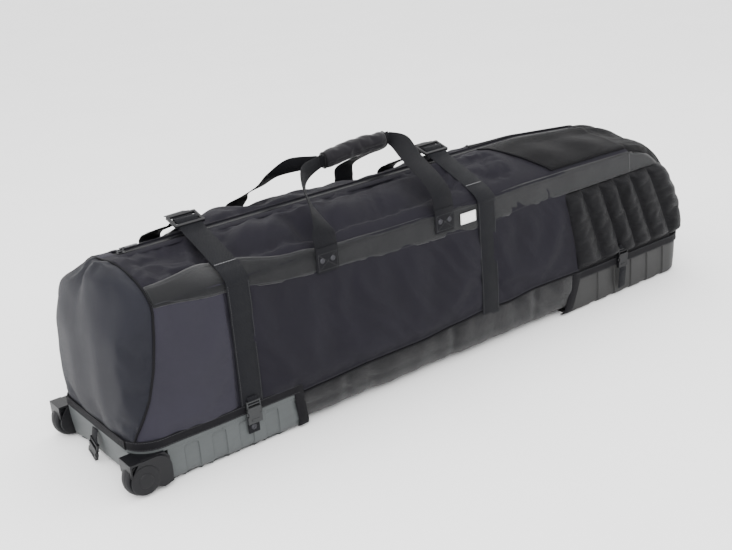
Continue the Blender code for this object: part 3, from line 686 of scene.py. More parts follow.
# ---- cloth ------------------------------------------------------------------------------
def billow(made, held, pressure, grow, frames, cap, stiff=8.0, bend=0.4, weight=0.0):
    """Lets a piece's cloth swell and rumple, held where held() says so, then applies it."""
    mesh = made.data
    before = [v.co.copy() for v in mesh.vertices]
    group = made.vertex_groups.new(name="held")
    for index, place in enumerate(before):
        group.add([index], min(max(held(place), 0.0), 1.0), "REPLACE")
    cloth = made.modifiers.new("cloth", "CLOTH")
    settings = cloth.settings
    settings.quality = 5
    settings.mass = 0.25
    settings.tension_stiffness = stiff
    settings.compression_stiffness = stiff
    settings.shear_stiffness = stiff * 0.4
    settings.bending_stiffness = bend
    settings.vertex_group_mass = "held"
    settings.pin_stiffness = 1.0
    settings.shrink_min = -grow
    settings.use_pressure = pressure != 0
    settings.uniform_pressure_force = pressure
    settings.effector_weights.gravity = weight
    cloth.collision_settings.use_collision = False
    cloth.collision_settings.use_self_collision = False
    cloth.point_cache.frame_start = 1
    cloth.point_cache.frame_end = frames
    scene = bpy.context.scene
    for number in range(1, frames + 1):
        scene.frame_set(number)
    graph = bpy.context.evaluated_depsgraph_get()
    result = made.evaluated_get(graph).to_mesh()
    after = [v.co.copy() for v in result.vertices]
    made.evaluated_get(graph).to_mesh_clear()
    made.modifiers.remove(cloth)
    made.vertex_groups.clear()
    scene.frame_set(1)
    for vert, old, new in zip(mesh.vertices, before, after):
        move = new - old
        if move.length > cap:
            move *= cap / move.length
        vert.co = old + move
    mesh.update()


def sewn(made):
    """The last steps for a fabric piece: one subdivision, then its thickness."""
    smoother = made.modifiers.new("finer", "SUBSURF")
    smoother.levels = 1
    smoother.render_levels = 1
    thicken(made)


def bend_over(made):
    """Bakes a piece's placement in the world into its mesh."""
    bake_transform(made)


# ---- side walls -------------------------------------------------------------------------
END_SEAM = ((0.066, -0.6425), (0.083, -0.6405), (0.096, -0.6370), (0.152, -0.6140),
            (0.200, -0.6010), (0.244, -0.5925), (0.292, -0.5870), (0.305, -0.5870))


def end_seam_x(z):
    """X of the seam round the wheel end, straight between the heights it was given at."""
    for (z0, x0), (z1, x1) in zip(END_SEAM, END_SEAM[1:]):
        if z <= z1:
            return x0 + (x1 - x0) * max((z - z0) / (z1 - z0), 0.0)
    return END_SEAM[-1][1]


SEAM_LINE = ((-0.353, 0.0640), (-0.300, 0.0660), (-0.200, 0.0700), (-0.090, 0.0700),
             (0.000, 0.0760), (0.080, 0.0810), (0.130, 0.0790), (0.200, 0.0850),
             (0.323, 0.0830))


def wall_foot(x):
    """Height of the lower edge of the side fabric."""
    if x < WHEEL_TRAY[1].x:
        return TRAY_TOP + 0.0004
    return between(SEAM_LINE, x)


def wall_top(x, sign):
    """The side fabric ends just under the edge of the top."""
    return roof_edge(x, sign) - 0.0030


def pad_slant(z):
    """How far the foot of the main side runs on under the slanted edge of the channels."""
    return 0.0380 * min(max((0.2420 - z) / 0.1590, 0.0), 1.0)


def wall_piece(sign, name, look, x0, x1, slot, replaced, grow, folds, seam=None,
               slant=None):
    """One panel of the side, from its foot to just under the edge of the roof."""
    columns = max(round((x1 - x0) / 0.0070), 4)
    rows = 30
    seed = 5.0 * sign + x0 * 3

    def surface(u, v):
        if seam:
            foot = TRAY_TOP + 0.0004
            z = foot + (wall_top(x0, sign) - foot) * v
            x = seam(z) + (x1 - seam(z)) * u
        else:
            x = x0 + (x1 - x0) * u
            foot = wall_foot(x)
            z = foot + (wall_top(x, sign) - foot) * v
            if slant:
                x += slant(z) * max(u - 0.5, 0.0) * 2
        fade = math.sin(math.pi * v) ** 0.5 if 0 < v < 1 else 0.0
        fade *= min(u / 0.06, (1 - u) / 0.06, 1.0) if 0 < u < 1 else 0.0
        out = side_out(x, z, sign) + fade * creases(x, z, seed, 0.85, folds)
        return (x, sign * out, z)

    mesh = grid_mesh(name, surface, columns, rows, (0, sign, 0))
    made = piece(name, mesh, look, "case", slot, replaced)

    def held(place):
        foot = wall_foot(place.x)
        share_z = min(place.z - foot, wall_top(place.x, sign) - place.z)
        share_x = min(place.x - (seam(place.z) if seam else x0), x1 - place.x)
        if min(share_z, share_x) < 0.0012:
            return 1.0
        if place.z - foot < 0.012 or place.z > between(BAND_LOW, place.x) - 0.008:
            return 0.95
        strap = min(abs(place.x - x) for x in STRAP_X) < 0.022
        if strap:
            return 0.55
        return 0.04

    billow(made, held, 0.35, grow, 16, 0.009, 8.0, 3.0, 0.25)
    sewn(made)


for side, sign in SIDES:
    wall_piece(sign, f"{side}_charcoal_gusset", None, GUSSET[0].x + 0.010,
               GUSSET[1].x + 0.0008, "charcoal_fabric", (f"{side}_wheel_end_gusset",), 0.012,
               0.0007, seam=end_seam_x)
    wall_piece(sign, f"{side}_main_side", None, GUSSET[1].x, PAD[0].x + 0.002,
               "black_fabric", (f"{side}_side_wall",), 0.012, 0.0036, slant=pad_slant)


# ---- quilted sides of the head end ------------------------------------------------------
GROOVES_TOP = (0.2835, 0.3300, 0.3780, 0.4210, 0.4680, 0.5200)
GROOVES_LOW = (0.3215, 0.3920, 0.4460, 0.4920, 0.5420, 0.5980)
QUILT_TOP = 0.2520
QUILT_LOW = 0.0880


def quilt_lines(z, sign):
    """X of each channel's edges at a height: the grooves and the back edge."""
    t = (QUILT_TOP - z) / (QUILT_TOP - QUILT_LOW)
    bow = t + 0.12 * t * (1 - t)
    lines = [a + (b - a) * bow for a, b in zip(GROOVES_TOP, GROOVES_LOW)]
    back = head_back(z, 0.6400, sign)
    return [min(line, back - 0.004 * (len(lines) - n)) for n, line in enumerate(lines)] + [back]


def quilt_side(side, sign):
    per = 9
    rows = 44
    verts, weights = [], []
    for j in range(rows + 1):
        top = min(QUILT_TOP, roof_edge(HEAD_X, sign) - 0.022)
        z = QUILT_LOW + (top - QUILT_LOW) * j / rows
        lines = quilt_lines(z, sign)
        up = min(j, rows - j) / rows
        for channel, (a, b) in enumerate(zip(lines, lines[1:])):
            for i in range(per if channel < len(lines) - 2 else per + 1):
                share = i / per
                crown = math.sin(math.pi * share) ** 0.62 if 0 < share < 1 else 0.0
                height = 0.0150 * crown * ease(0, 0.09, up) ** 0.6
                height *= min((b - a) / 0.040, 1.0)
                ruck = noise.noise(Vector((a * 9 + share, z * 55, sign * 4.0)))
                height *= 1 + 0.16 * ruck
                verts.append(head_side(a + (b - a) * share, z, sign, 0.0008 + height))
                edge = share in (0.0, 1.0) or j in (0, rows)
                weights.append(1.0 if edge else 0.02)
    wide = (len(quilt_lines(0.15, sign)) - 1) * per + 1
    mesh = bpy.data.meshes.new(f"{side}_quilted_pad")
    mesh.from_pydata([tuple(v) for v in verts], [], quads(wide, rows))
    if mesh.polygons[100].normal.y * sign < 0:
        mesh.flip_normals()
    mesh.shade_smooth()
    lay_flat(mesh, verts, wide)
    made = piece(f"{side}_quilted_pad", mesh, QUILT_LOOK, "case", "black_fabric",
                 (f"{side}_ribbed_pad",))
    by_place = {tuple(round(c, 6) for c in v.co): w for v, w in zip(mesh.vertices, weights)}
    billow(made, lambda p: by_place[tuple(round(c, 6) for c in p)], 2.0, 0.035, 12, 0.004)
    sewn(made)


def quilt_backing(side, sign):
    """Plain fabric behind and above the channels, up to the shoulder."""
    def surface(u, v):
        z = 0.0670 + (wall_top(HEAD_X, sign) - 0.0030 - 0.0670) * v
        low = 0.2870 if z > 0.0830 else 0.3120
        x = low + (head_back(z, CORNER_X, sign) - low) * u
        return head_side(x, z, sign, 0.0002 + 0.0012 * math.sin(math.pi * v) * (1 - u))

    mesh = grid_mesh(f"{side}_head_side", surface, 48, 34, (0, sign, 0))
    sewn(piece(f"{side}_head_side", mesh, QUILT_LOOK, "case", "black_fabric"))


for side, sign in SIDES:
    quilt_side(side, sign)
    quilt_backing(side, sign)


# ---- top flaps --------------------------------------------------------------------------
APEX_X = -0.6020


def arch_x(turn):
    """X of the wheel end's piped seam where it crosses the top."""
    return -0.5870 + (APEX_X + 0.5870) * turn ** 1.5


def flap_piece(side, sign):
    """Top fabric from the shoulder to the zip, loose between the straps."""
    rows = 26
    columns = 150
    turns = evened(lambda t: roof_point(-0.1, t, sign), rows)
    seed = 11.0 + sign

    def surface(u, v):
        turn = turns[round(v * rows)]
        start = arch_x(turn)
        x = start + (FLAP_END - start) * u
        place = roof_point(x, turn, sign)
        fade = math.sin(math.pi * min(max(v, 0), 1)) ** 0.5 if 0 < v < 1 else 0.0
        fade *= ease(0.240, 0.150, x) * ease(0.136, 0.108, abs(place.y))
        place.z += fade * creases(x, place.y * sign, seed, 0.7, 0.0050)
        if abs(place.y) < 0.0125:
            place.y = sign * max(abs(place.y), 0.0104)
        return place

    def blended(u, v):
        place = surface(u, v)
        if v == 1.0:
            place.y = sign * 0.0100
        return place

    mesh = grid_mesh(f"{side}_top_fabric", blended, columns, rows, (0, 0, 1))
    made = piece(f"{side}_top_fabric", mesh, None, None, "black_fabric", (f"{side}_top_flap",))

    def held(place):
        across = abs(place.y)
        if across < 0.0135 or across > HALF - 0.020:
            return 1.0
        if min(place.x - FLAP_START, FLAP_END - place.x) < 0.002:
            return 1.0
        if place.x > 0.180:
            return 1.0
        if min(abs(place.x - x) for x in STRAP_X) < 0.020:
            return 0.6
        if min(abs(place.x - x) for x in FOOT_X) < 0.018 and across > 0.120:
            return 0.7
        return 0.03

    billow(made, held, 0.6, 0.040, 18, 0.015, 8.0, 0.9, 0.2)
    sewn(made)
    bend_over(made)


for side, sign in SIDES:
    flap_piece(side, sign)


# ---- wheel end: bulging panel and its piped seam ----------------------------------------
ARCH_FOOT = 0.0690


def arch(share, sign):
    """The seam round the wheel end: share 0 at its foot, 1 at the apex over the middle."""
    edge = roof_edge(REAR_X, sign) - EDGE_DROP
    if share < 0.62:
        z = ARCH_FOOT + (edge - ARCH_FOOT) * share / 0.62
        x = end_seam_x(z)
        return Vector((x, sign * side_out(x, z, sign), z))
    turn = (share - 0.62) / 0.38
    place = roof_point(REAR_X, turn, sign)
    place.x = arch_x(turn)
    return place


def end_panel():
    columns, rows = 44, 40

    def surface(u, v):
        a = u * 2 - 1
        sign = 1 if a >= 0 else -1
        rim = arch(v, sign)
        angle = a * math.pi / 2
        round_power = 0.70
        y = abs(rim.y) * math.copysign(abs(math.sin(angle)) ** round_power, a)
        bulge = between(((0.0, -0.6500), (0.20, -0.6505), (0.45, -0.6475), (0.70, -0.6350),
                         (0.88, -0.6150), (1.0, APEX_X)), v)
        out = max(math.cos(angle), 0.0) ** round_power
        x = rim.x + (bulge - rim.x) * out
        gather = ease(0.30, 0.95, v) * out
        fan = math.sin(a * 11 + 3 * noise.noise(Vector((y * 20, v * 3, 1))))
        x += gather * 0.0018 * fan
        x -= out * 0.0030 * noise.noise(Vector((y * 16, rim.z * 6, 4.0)))
        x -= 0.0022 * out * math.exp(-(((y + 0.055) / 0.022) ** 2))
        if v < 0.05:
            x = max(x, -0.6515)
        return (x, y, rim.z + 0.003 * out * ease(0.7, 1.0, v) * (1 - v))

    mesh = grid_mesh("wheel_end_fabric", surface, columns, rows, (-1, 0, 0))
    made = piece("wheel_end_fabric", mesh, None, "case", "end_fabric", ("wheel_end_panel",))

    edge = {}
    wide = columns + 1
    for index, vert in enumerate(mesh.vertices):
        i, j = index % wide, index // wide
        key = tuple(round(c, 6) for c in vert.co)
        edge[key] = 1.0 if i in (0, columns) or j in (0, 1, 2, rows) else 0.03
    billow(made, lambda p: edge[tuple(round(c, 6) for c in p)], 0.9, 0.024, 18, 0.007, 6.0, 0.8)
    sewn(made)
    path = [arch(i / 30, -1) for i in range(31)] + [arch(1 - i / 30, 1) for i in range(1, 31)]
    outward = [p + Vector((-0.0006, math.copysign(0.0006, p.y), 0.0004)) for p in path]
    piece("wheel_end_piping", tube_mesh("wheel_end_piping", outward, PIPING, 8, 2),
          LOOKS["binding_tape"], "case", "binding_tape")


end_panel()


# ---- head end hood ----------------------------------------------------------------------
def hood():
    """The round fabric of the head end, with a shallow valley below the zip."""
    def surface(u, v):
        across = math.copysign(abs(u * 2 - 1) ** 0.85, u * 2 - 1)
        place = hood_point(v, across)
        out = Vector((place.x - 0.480, place.y * 0.4, place.z - 0.090)).normalized()
        puff = 0.0
        if 0 < v < 1:
            puff = 0.0030 * math.sin(math.pi * v) ** 0.5 * (1 - abs(across) ** 3)
            puff += creases(place.y, place.z, 2.5, 0.3, 0.0016) * math.sin(math.pi * v) ** 0.5
        valley = 0.010 * math.exp(-((across / 0.12) ** 2)) * ease(0.45, 0.05, v) * ease(0, 0.06, v)
        return place + out * (puff - valley)

    mesh = grid_mesh("head_end_fabric", surface, 64, 56, (1, 0, 0.5))
    made = piece("head_end_fabric", mesh, HOOD_LOOK, "case", "black_fabric", ("head_end_hood",))

    def held(place):
        return 1.0 if place.z < 0.071 or place.x < 0.476 or abs(place.y) > 0.138 else 0.04

    billow(made, held, 0.8, 0.020, 14, 0.007, 6.0, 0.5)
    sewn(made)


hood()

# ---- bands and straps -------------------------------------------------------------------


def band(side, sign):
    """Heavy band over the shoulder, as long as the flap, with a row of stitches at each edge."""
    def surface(u, v):
        x = BAND_START + (HEAD_X - BAND_START) * u
        low, high = between(BAND_LOW, x), between(BAND_HIGH, x)
        high += roof_edge(x, sign) - ROOF_EDGE
        lift = 0.0021 + 0.0008 * noise.noise(Vector((x * 22, v, sign)))
        if v in (0.0, 1.0):
            lift -= 0.0014
        return shoulder_point(x, low + (high - low) * v, sign, lift)

    mesh = grid_mesh(f"{side}_upper_band", surface, 130, 8, (0, sign, 0.2))
    made = piece(f"{side}_upper_band", mesh, BAND_LOOK, None, "black_webbing",
                 (f"{side}_reinforcement_band",))
    made.modifiers.new("finer", "SUBSURF").levels = 1
    thicken(made, 0.0014)
    bend_over(made)
    for number, shift in enumerate((0.0040, -0.0040)):
        table = BAND_LOW if shift > 0 else BAND_HIGH
        path = []
        for x in range(-58, 47):
            z = between(table, x / 100) + shift
            if shift < 0:
                z += roof_edge(x / 100, sign) - ROOF_EDGE
            path.append(shoulder_point(x / 100, z, sign, 0.0034))
        row = stitches(f"{side}_band_stitches_{number}", path, (0, sign, 0.1), None)
        bend_over(row)


def head_band(side, sign):
    """The band goes on over the fixed head end and narrows round its corner."""
    def surface(u, v):
        edge = head_top(sign)
        x = 0.4660 + (0.5600 - 0.4660) * u
        share = min(max((x - HEAD_X) / (0.6260 - HEAD_X), 0.0), 1.0)
        high = WALL_LOW + (edge - WALL_LOW) * math.sqrt(1 - share * share)
        low = min(0.2540, edge - 0.0200) - 0.030 * max(u - 0.6, 0) ** 2
        z = low + (max(high, low + 0.002) - low) * v
        lift = 0.0024 if 0 < v < 1 and u < 1 else 0.0010
        return head_side(x, z, sign, lift)

    mesh = grid_mesh(f"{side}_head_band", surface, 24, 8, (0, sign, 0.2))
    made = piece(f"{side}_head_band", mesh, BAND_LOOK, "case", "black_webbing")
    made.modifiers.new("finer", "SUBSURF").levels = 1
    thicken(made, 0.0014)


def head_cover(side, sign):
    """Darker panel sewn over the top of the head end, cut slanting at its rear edge."""
    def surface(u, v):
        turn = 0.06 + 0.86 * v
        start = 0.2620 - 0.0770 * v
        x = start + (FLAP_END - start) * u
        rim = 0.0 if min(u, 1 - u, v, 1 - v) > 0.001 else 0.0006
        return roof_point(x, turn, sign, 0.0030 - rim)

    mesh = grid_mesh(f"{side}_head_cover", surface, 50, 24, (0, 0, 1))
    made = piece(f"{side}_head_cover", mesh, HOOD_LOOK, None, "black_fabric")
    thicken(made, 0.0008)
    bend_over(made)
    path = [surface(0.0, v / 20) + Vector((-0.0010, 0, 0.0006)) for v in range(21)]
    piping = piece(f"{side}_head_seam", tube_mesh(f"{side}_head_seam", path, 0.0017, 8, 2),
                   LOOKS["binding_tape"], None, "black_fabric")
    bend_over(piping)


BAND_LOOK = woven("band_weave", (0.0014, 0.0016, 0.0026), 0.62, 0.0013, 0.0004, 0.2)
for side, sign in SIDES:
    band(side, sign)
    head_band(side, sign)
    head_cover(side, sign)


def box_stitch(name, middle, half_x, half_z, sign, body, look=None):
    """A sewn square with a cross in it."""
    x, y, z = middle
    corners = [(-half_x, -half_z), (half_x, -half_z), (half_x, half_z), (-half_x, half_z),
               (-half_x, -half_z), (half_x, half_z), (half_x, -half_z), (-half_x, half_z)]
    path = [(x + a, y, z + b) for a, b in corners]
    return stitches(name, path, (0, sign, 0), body, look, 0.0036, 0.0025, 0.0003)


def side_strap(side, sign, number, low_z):
    """Upright webbing on the side, sewn down along both edges."""
    x = STRAP_X[number - 1]
    route = []
    steps = 16
    for i in range(steps + 1):
        z = low_z + (0.2990 - low_z) * i / steps
        lift = 0.0046 if z > 0.240 else 0.0032
        wave = 0.0007 * noise.noise(Vector((z * 30, number, sign)))
        lean = 0.004 * (1 - i / steps) * (1 if number == 2 else 0.2)
        route.append(((x + lean, sign * (side_out(x, z, sign) + lift + wave), z), (1, 0, 0.02)))
    name = f"{side}_side_strap_web_{number}"
    piece(name, strap_mesh(name, route, STRAP_WIDTH), None, "case", "black_webbing",
          (f"{side}_side_strap_{number}",))
    for edge in (-1, 1):
        path = [(p[0] + edge * 0.0185, p[1] + sign * 0.0011, p[2]) for p, _ in route]
        stitches(f"{side}_side_strap_{number}_stitches_{'rear' if edge < 0 else 'front'}",
                 path, (0, sign, 0), "case")


for side, sign in SIDES:
    for number, low_z in ((1, 0.0850), (2, 0.0700)):
        side_strap(side, sign, number, low_z)


def over_top(x, turn, sign, lift):
    """A taut strap over the roof bridges its folds and the valley of the zip."""
    place = roof_point(x, turn, sign)
    top = 0.3600 if x > 0 else 0.3580
    bridged = ROOF_EDGE + (top - ROOF_EDGE) * (turn ** 0.9)
    place.z = max(place.z, bridged)
    return place + Vector((0, sign * 0.45, 0.89)) * lift


def cross_strap(side, sign, number):
    """One half of a strap over the top, up to the slide buckle."""
    x = STRAP_X[number - 1]
    route = [((x, sign * (side_out(x, 0.292, sign) + 0.0050), 0.2900), (1, 0, 0)),
             ((x, sign * (side_out(x, 0.299, sign) + 0.0050), 0.2985), (1, 0, 0))]
    for turn in (0.06, 0.16, 0.28, 0.42, 0.56, 0.70, 0.82):
        route.append((over_top(x, turn, sign, 0.0036), (1, 0, 0)))
    route.append(((x, sign * 0.0110, 0.3655 if x > 0 else 0.3630), (1, 0, 0)))
    name = f"{side}_cross_strap_web_{number}"
    made = piece(name, strap_mesh(name, route, STRAP_WIDTH, WEB, 5), None, None, "black_webbing",
                 (f"{side}_cross_strap_{number}",))
    bend_over(made)
    seam = [(x - 0.018 + 0.036 * i / 8, *over_top(x, 0.20, sign, 0.0050)[1:]) for i in range(9)]
    row = stitches(f"{side}_cross_strap_{number}_stitches", seam, (0, sign * 0.6, 0.8), None,
                   PALE_THREAD, 0.0030, 0.0024, 0.0005)
    bend_over(row)


def bar(x0, x1, y0, y1, z0, z1, radius=0.0008):
    """A bar with rounded ends seen from above, as vertices and faces."""
    return prism(rounded_box(x0, x1, y0, y1, radius, 3), z0, z1,
                 lambda a, b, c: Vector((a, b, c)))


def tilted(solids, pivot, degrees, axis):
    turn = Matrix.Translation(pivot) @ Matrix.Rotation(math.radians(degrees), 4, axis)
    turn = turn @ Matrix.Translation(-Vector(pivot))
    return [([turn @ v for v in verts], faces) for verts, faces in solids]


def slide_buckle(number):
    """Three-bar slide in the middle of a strap over the top, with the strap's tail."""
    x = STRAP_X[number - 1]
    low = 0.3640 if x > 0 else 0.3622
    bars = [bar(x - 0.0270, x + 0.0270, -0.0170, -0.0115, low, low + 0.0050, 0.0020),
            bar(x - 0.0225, x + 0.0225, -0.0020, 0.0020, low + 0.0010, low + 0.0042, 0.0010),
            bar(x - 0.0270, x + 0.0270, 0.0125, 0.0180, low, low + 0.0050, 0.0020),
            bar(x - 0.0270, x - 0.0222, -0.0160, 0.0170, low + 0.0002, low + 0.0048, 0.0015),
            bar(x + 0.0222, x + 0.0270, -0.0160, 0.0170, low + 0.0002, low + 0.0048, 0.0015)]
    bars = tilted(bars, (x, 0.0, low), 16, "X")
    made = piece(f"slide_buckle_{number}", joined(f"slide_buckle_{number}", bars), None,
                 "far_flap", "black_plastic", (f"cross_buckle_{number}",))
    soften(made, 0.0006)
    loop = [((x, -0.0085, low - 0.0002), (1, 0, 0)), ((x, -0.0030, low + 0.0050), (1, 0, 0)),
            ((x, 0.0030, low + 0.0056), (1, 0, 0)), ((x, 0.0090, low + 0.0020), (1, 0, 0)),
            ((x, 0.0170, low - 0.0003), (1, 0, 0))]
    piece(f"slide_buckle_{number}_loop", strap_mesh(f"slide_loop_{number}", loop, 0.040),
          None, "far_flap", "black_webbing")
    tail = [((x, 0.0085, low + 0.0042), (1, 0, 0)), ((x + 0.001, 0.0200, low + 0.0075), (1, 0, 0)),
            ((x + 0.002, 0.0320, low + 0.0040), (1, 0.05, 0)),
            ((x + 0.003, 0.0460, low + 0.0006), (1, 0.05, 0))]
    piece(f"slide_buckle_{number}_tail", strap_mesh(f"slide_tail_{number}", tail, 0.038),
          None, "far_flap", "black_webbing")


for number in (1, 2):
    for side, sign in SIDES:
        cross_strap(side, sign, number)
    slide_buckle(number)


# ---- zip --------------------------------------------------------------------------------
def zipper():
    """Tapes, teeth, welts, slider and pull; the tapes drop with the top at the head end."""
    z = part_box("near_zip_tape")[1].z
    start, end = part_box("near_zip_tape")[0].x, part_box("near_zip_tape")[1].x

    def drop(x):
        return max(x - 0.30, 0.0) * 0.09

    for side, sign in SIDES:
        stations = [start + (end - start) * i / 40 for i in range(41)]
        route = [((x, sign * 0.0082, z - 0.0009 - drop(x)), (0, 1, 0)) for x in stations]
        piece(f"{side}_zipper_tape", strap_mesh(f"{side}_zipper_tape", route, 0.0110, 0.0011, 2),
              None, f"{side}_flap", "zip_tape", (f"{side}_zip_tape",))
        teeth = []
        for i in range(340):
            x = start + 0.004 + 0.0030 * i + (0.0015 if sign > 0 else 0.0)
            if x > end - 0.003:
                break
            low, high = sorted((sign * -0.0006, sign * 0.0034))
            top = z - drop(x)
            teeth.append(bar(x - 0.0009, x + 0.0009, low, high, top - 0.0012, top + 0.0004,
                             0.0005))
        piece(f"{side}_zip_teeth", joined(f"{side}_zip_teeth", teeth), LOOKS["black_plastic"],
              f"{side}_flap", "zip_tape")
        flap = []
        for x in stations:
            wave = 0.0006 * noise.noise(Vector((x * 30, sign, 0)))
            flap.append(((x, sign * 0.0165, z + 0.0006 + wave - drop(x)),
                         (0, 1, 0.35 * -sign)))
        piece(f"{side}_zip_welt", strap_mesh(f"{side}_zip_welt", flap, 0.0120, 0.0016, 2),
              None, f"{side}_flap", "black_fabric")
    low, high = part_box("zip_slider")
    top = high.z
    body = [bar(low.x, high.x, -0.0050, 0.0050, top - 0.0016, top - 0.0004, 0.0020),
            bar(low.x, high.x, -0.0050, 0.0050, low.z, low.z + 0.0011, 0.0020),
            bar(low.x + 0.003, high.x - 0.003, -0.0012, 0.0012, low.z, top, 0.0006),
            bar(low.x + 0.002, low.x + 0.004, -0.0010, 0.0010, top - 0.001, top + 0.0010, 0.0004)]
    made = piece("zip_slider_body", joined("zip_slider_body", body), None, "zip_slider",
                 "zip_metal", ("zip_slider",))
    soften(made, 0.0003)
    low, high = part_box("zip_pull")
    pull = [bar(low.x, low.x + 0.009, -0.0034, -0.0020, low.z, high.z, 0.0006),
            bar(low.x, low.x + 0.009, 0.0020, 0.0034, low.z, high.z, 0.0006),
            bar(low.x, low.x + 0.0022, -0.0034, 0.0034, low.z, high.z, 0.0006),
            bar(low.x + 0.008, high.x, -0.0035, 0.0035, low.z, high.z, 0.0016)]
    made = piece("zip_pull_tag", joined("zip_pull_tag", pull), None, "zip_pull", "zip_metal",
                 ("zip_pull",))
    soften(made, 0.0004)
    tab = [((-0.6000, 0.0, 0.3420), (0, 1, 0)), ((-0.5860, 0.0, 0.3425), (0, 1, 0)),
           ((-0.5740, 0.0, 0.3405), (0, 1, 0))]
    piece("zip_end_tab", strap_mesh("zip_end_tab", tab, 0.0200, 0.0016, 4),
          LOOKS["charcoal_fabric"], "case", "binding_tape")


zipper()


# ---- carrying handles -------------------------------------------------------------------
GRIP_START, GRIP_STOP = GRIP[0].x, GRIP[1].x


def grip_z(x):
    share = (x - GRIP_START) / (GRIP_STOP - GRIP_START)
    return 0.4030 + 0.0090 * (share - 0.5) + 0.0022 * math.sin(math.pi * share)


def handle(side, sign):
    """Webbing of one handle; the near one twists at its rear leg, the far one leans."""
    left, right = FOOT_X
    y = 0.0042
    twist = 1.0 if sign < 0 else 0.0
    lean = 0.0 if sign < 0 else 1.0
    legs = [((left, sign * 0.1462, 0.3045), (1, 0, 0)),
            ((left + 0.008 * lean, sign * (0.1420 - 0.003 * lean), 0.3260 - 0.006 * lean),
             (1, 0, 0)),
            ((left + 0.004 + 0.014 * lean, sign * 0.1240, 0.3440 - 0.010 * lean),
             (1 - 0.25 * twist - 0.30 * lean, 0.42 * twist + 0.55 * lean, -0.10)),
            ((left + 0.013 + 0.017 * lean, sign * 0.0900, 0.3640 - 0.010 * lean),
             (0.95 - 0.45 * twist - 0.30 * lean, 0.62 * twist + 0.55 * lean, -0.20)),
            ((left + 0.028 + 0.008 * lean, sign * 0.0540, 0.3830 - 0.004 * lean),
             (0.80 - 0.30 * twist - 0.15 * lean, 0.55 * twist + 0.30 * lean,
              -0.30 - 0.1 * twist)),
            ((left + 0.055 + 0.006 * lean, sign * 0.0240, 0.3950 + 0.002 * lean),
             (0.45, 0.20 * twist, -0.60)),
            ((GRIP_START - 0.012, sign * y, grip_z(GRIP_START)), (0.10, 0, -0.50)),
            ((GRIP_START + 0.004, sign * y, grip_z(GRIP_START)), (0, 0, -0.44)),
            ((GRIP_STOP - 0.004, sign * y, grip_z(GRIP_STOP)), (0, 0, -0.44)),
            ((GRIP_STOP + 0.010, sign * y, grip_z(GRIP_STOP)), (-0.15, 0, -0.50)),
            ((right + 0.010 - 0.012 * lean, sign * 0.0240, 0.4010 - 0.008 * lean),
             (-0.80, 0, -0.35)),
            ((right + 0.003 + 0.016 * lean, sign * 0.0620, 0.3820 - 0.012 * lean),
             (-0.97, 0, -0.05)),
            ((right + 0.018 * lean, sign * 0.1160, 0.3540 - 0.006 * lean), (-1, 0, 0)),
            ((right, sign * 0.1410, 0.3300), (-1, 0, 0)),
            ((right, sign * 0.1462, 0.3045), (-1, 0, 0))]
    piece(f"{side}_handle_web", strap_mesh(f"{side}_handle_web", legs, HANDLE_WIDTH, WEB, 8),
          HANDLE_LOOK, f"{side}_handle", "black_webbing", (f"{side}_handle_strap",))


def handle_feet(side, sign):
    """The sewn and riveted ends of a handle."""
    for number, x in enumerate(FOOT_X):
        place = ("rear", "front")[number]
        out = side_out(x, 0.283, sign) + 0.0062
        route = [((x, sign * (out - 0.0007), 0.2625), (1, 0, 0)),
                 ((x, sign * out, 0.2830), (1, 0, 0)),
                 ((x, sign * (out - 0.0002), 0.3060), (1, 0, 0))]
        name = f"{side}_{place}_foot_web"
        piece(name, strap_mesh(name, route, HANDLE_WIDTH, WEB, 3), HANDLE_LOOK, "case",
              "black_webbing", (f"{side}_{place}_handle_foot",))
        box_stitch(f"{side}_{place}_foot_stitches", (x, sign * (out + 0.0011), 0.2810),
                   0.0185, 0.0140, sign, "case")
        for spot, shift in enumerate((-0.0105, 0.0105)):
            rivet(f"{side}_{place}_rivet_{spot}", (x + shift, sign * (out + 0.0006), 0.2835),
                  sign, 0.0048)


def lathe(name, profile, centre, axis_sign, segments=40, axis="Y"):
    """A profile of radius and distance along the axis, turned round it."""
    verts, faces = [], []
    count = len(profile)
    for k in range(segments):
        turn = math.tau * k / segments
        for radius, along in profile:
            if axis == "Y":
                verts.append(Vector(centre) + Vector((radius * math.cos(turn), along * axis_sign,
                                                      radius * math.sin(turn))))
            else:
                verts.append(Vector(centre) + Vector((along * axis_sign,
                                                      radius * math.cos(turn),
                                                      radius * math.sin(turn))))
    for k in range(segments):
        other = (k + 1) % segments
        for i in range(count - 1):
            faces.append((k * count + i, k * count + i + 1, other * count + i + 1,
                          other * count + i))
    mesh = bpy.data.meshes.new(name)
    mesh.from_pydata([tuple(v) for v in verts], [], faces)
    bm = bmesh.new()
    bm.from_mesh(mesh)
    bmesh.ops.remove_doubles(bm, verts=bm.verts, dist=1e-6)
    bmesh.ops.dissolve_degenerate(bm, edges=bm.edges, dist=1e-7)
    bmesh.ops.recalc_face_normals(bm, faces=bm.faces)
    bm.to_mesh(mesh)
    bm.free()
    smooth(mesh, 35)
    return mesh


def rivet(name, centre, sign, radius):
    profile = [(0, -0.001), (radius, -0.001), (radius, 0.0004), (radius * 0.85, 0.0012),
               (radius * 0.5, 0.0016), (radius * 0.42, 0.0011), (0, 0.0009)]
    piece(name, lathe(name, profile, centre, sign, 20), RIVET_LOOK, "case", "black_webbing")


RIVET_LOOK = metal("rivet_metal", (0.045, 0.045, 0.050), 0.45)
for side, sign in SIDES:
    handle(side, sign)
    handle_feet(side, sign)


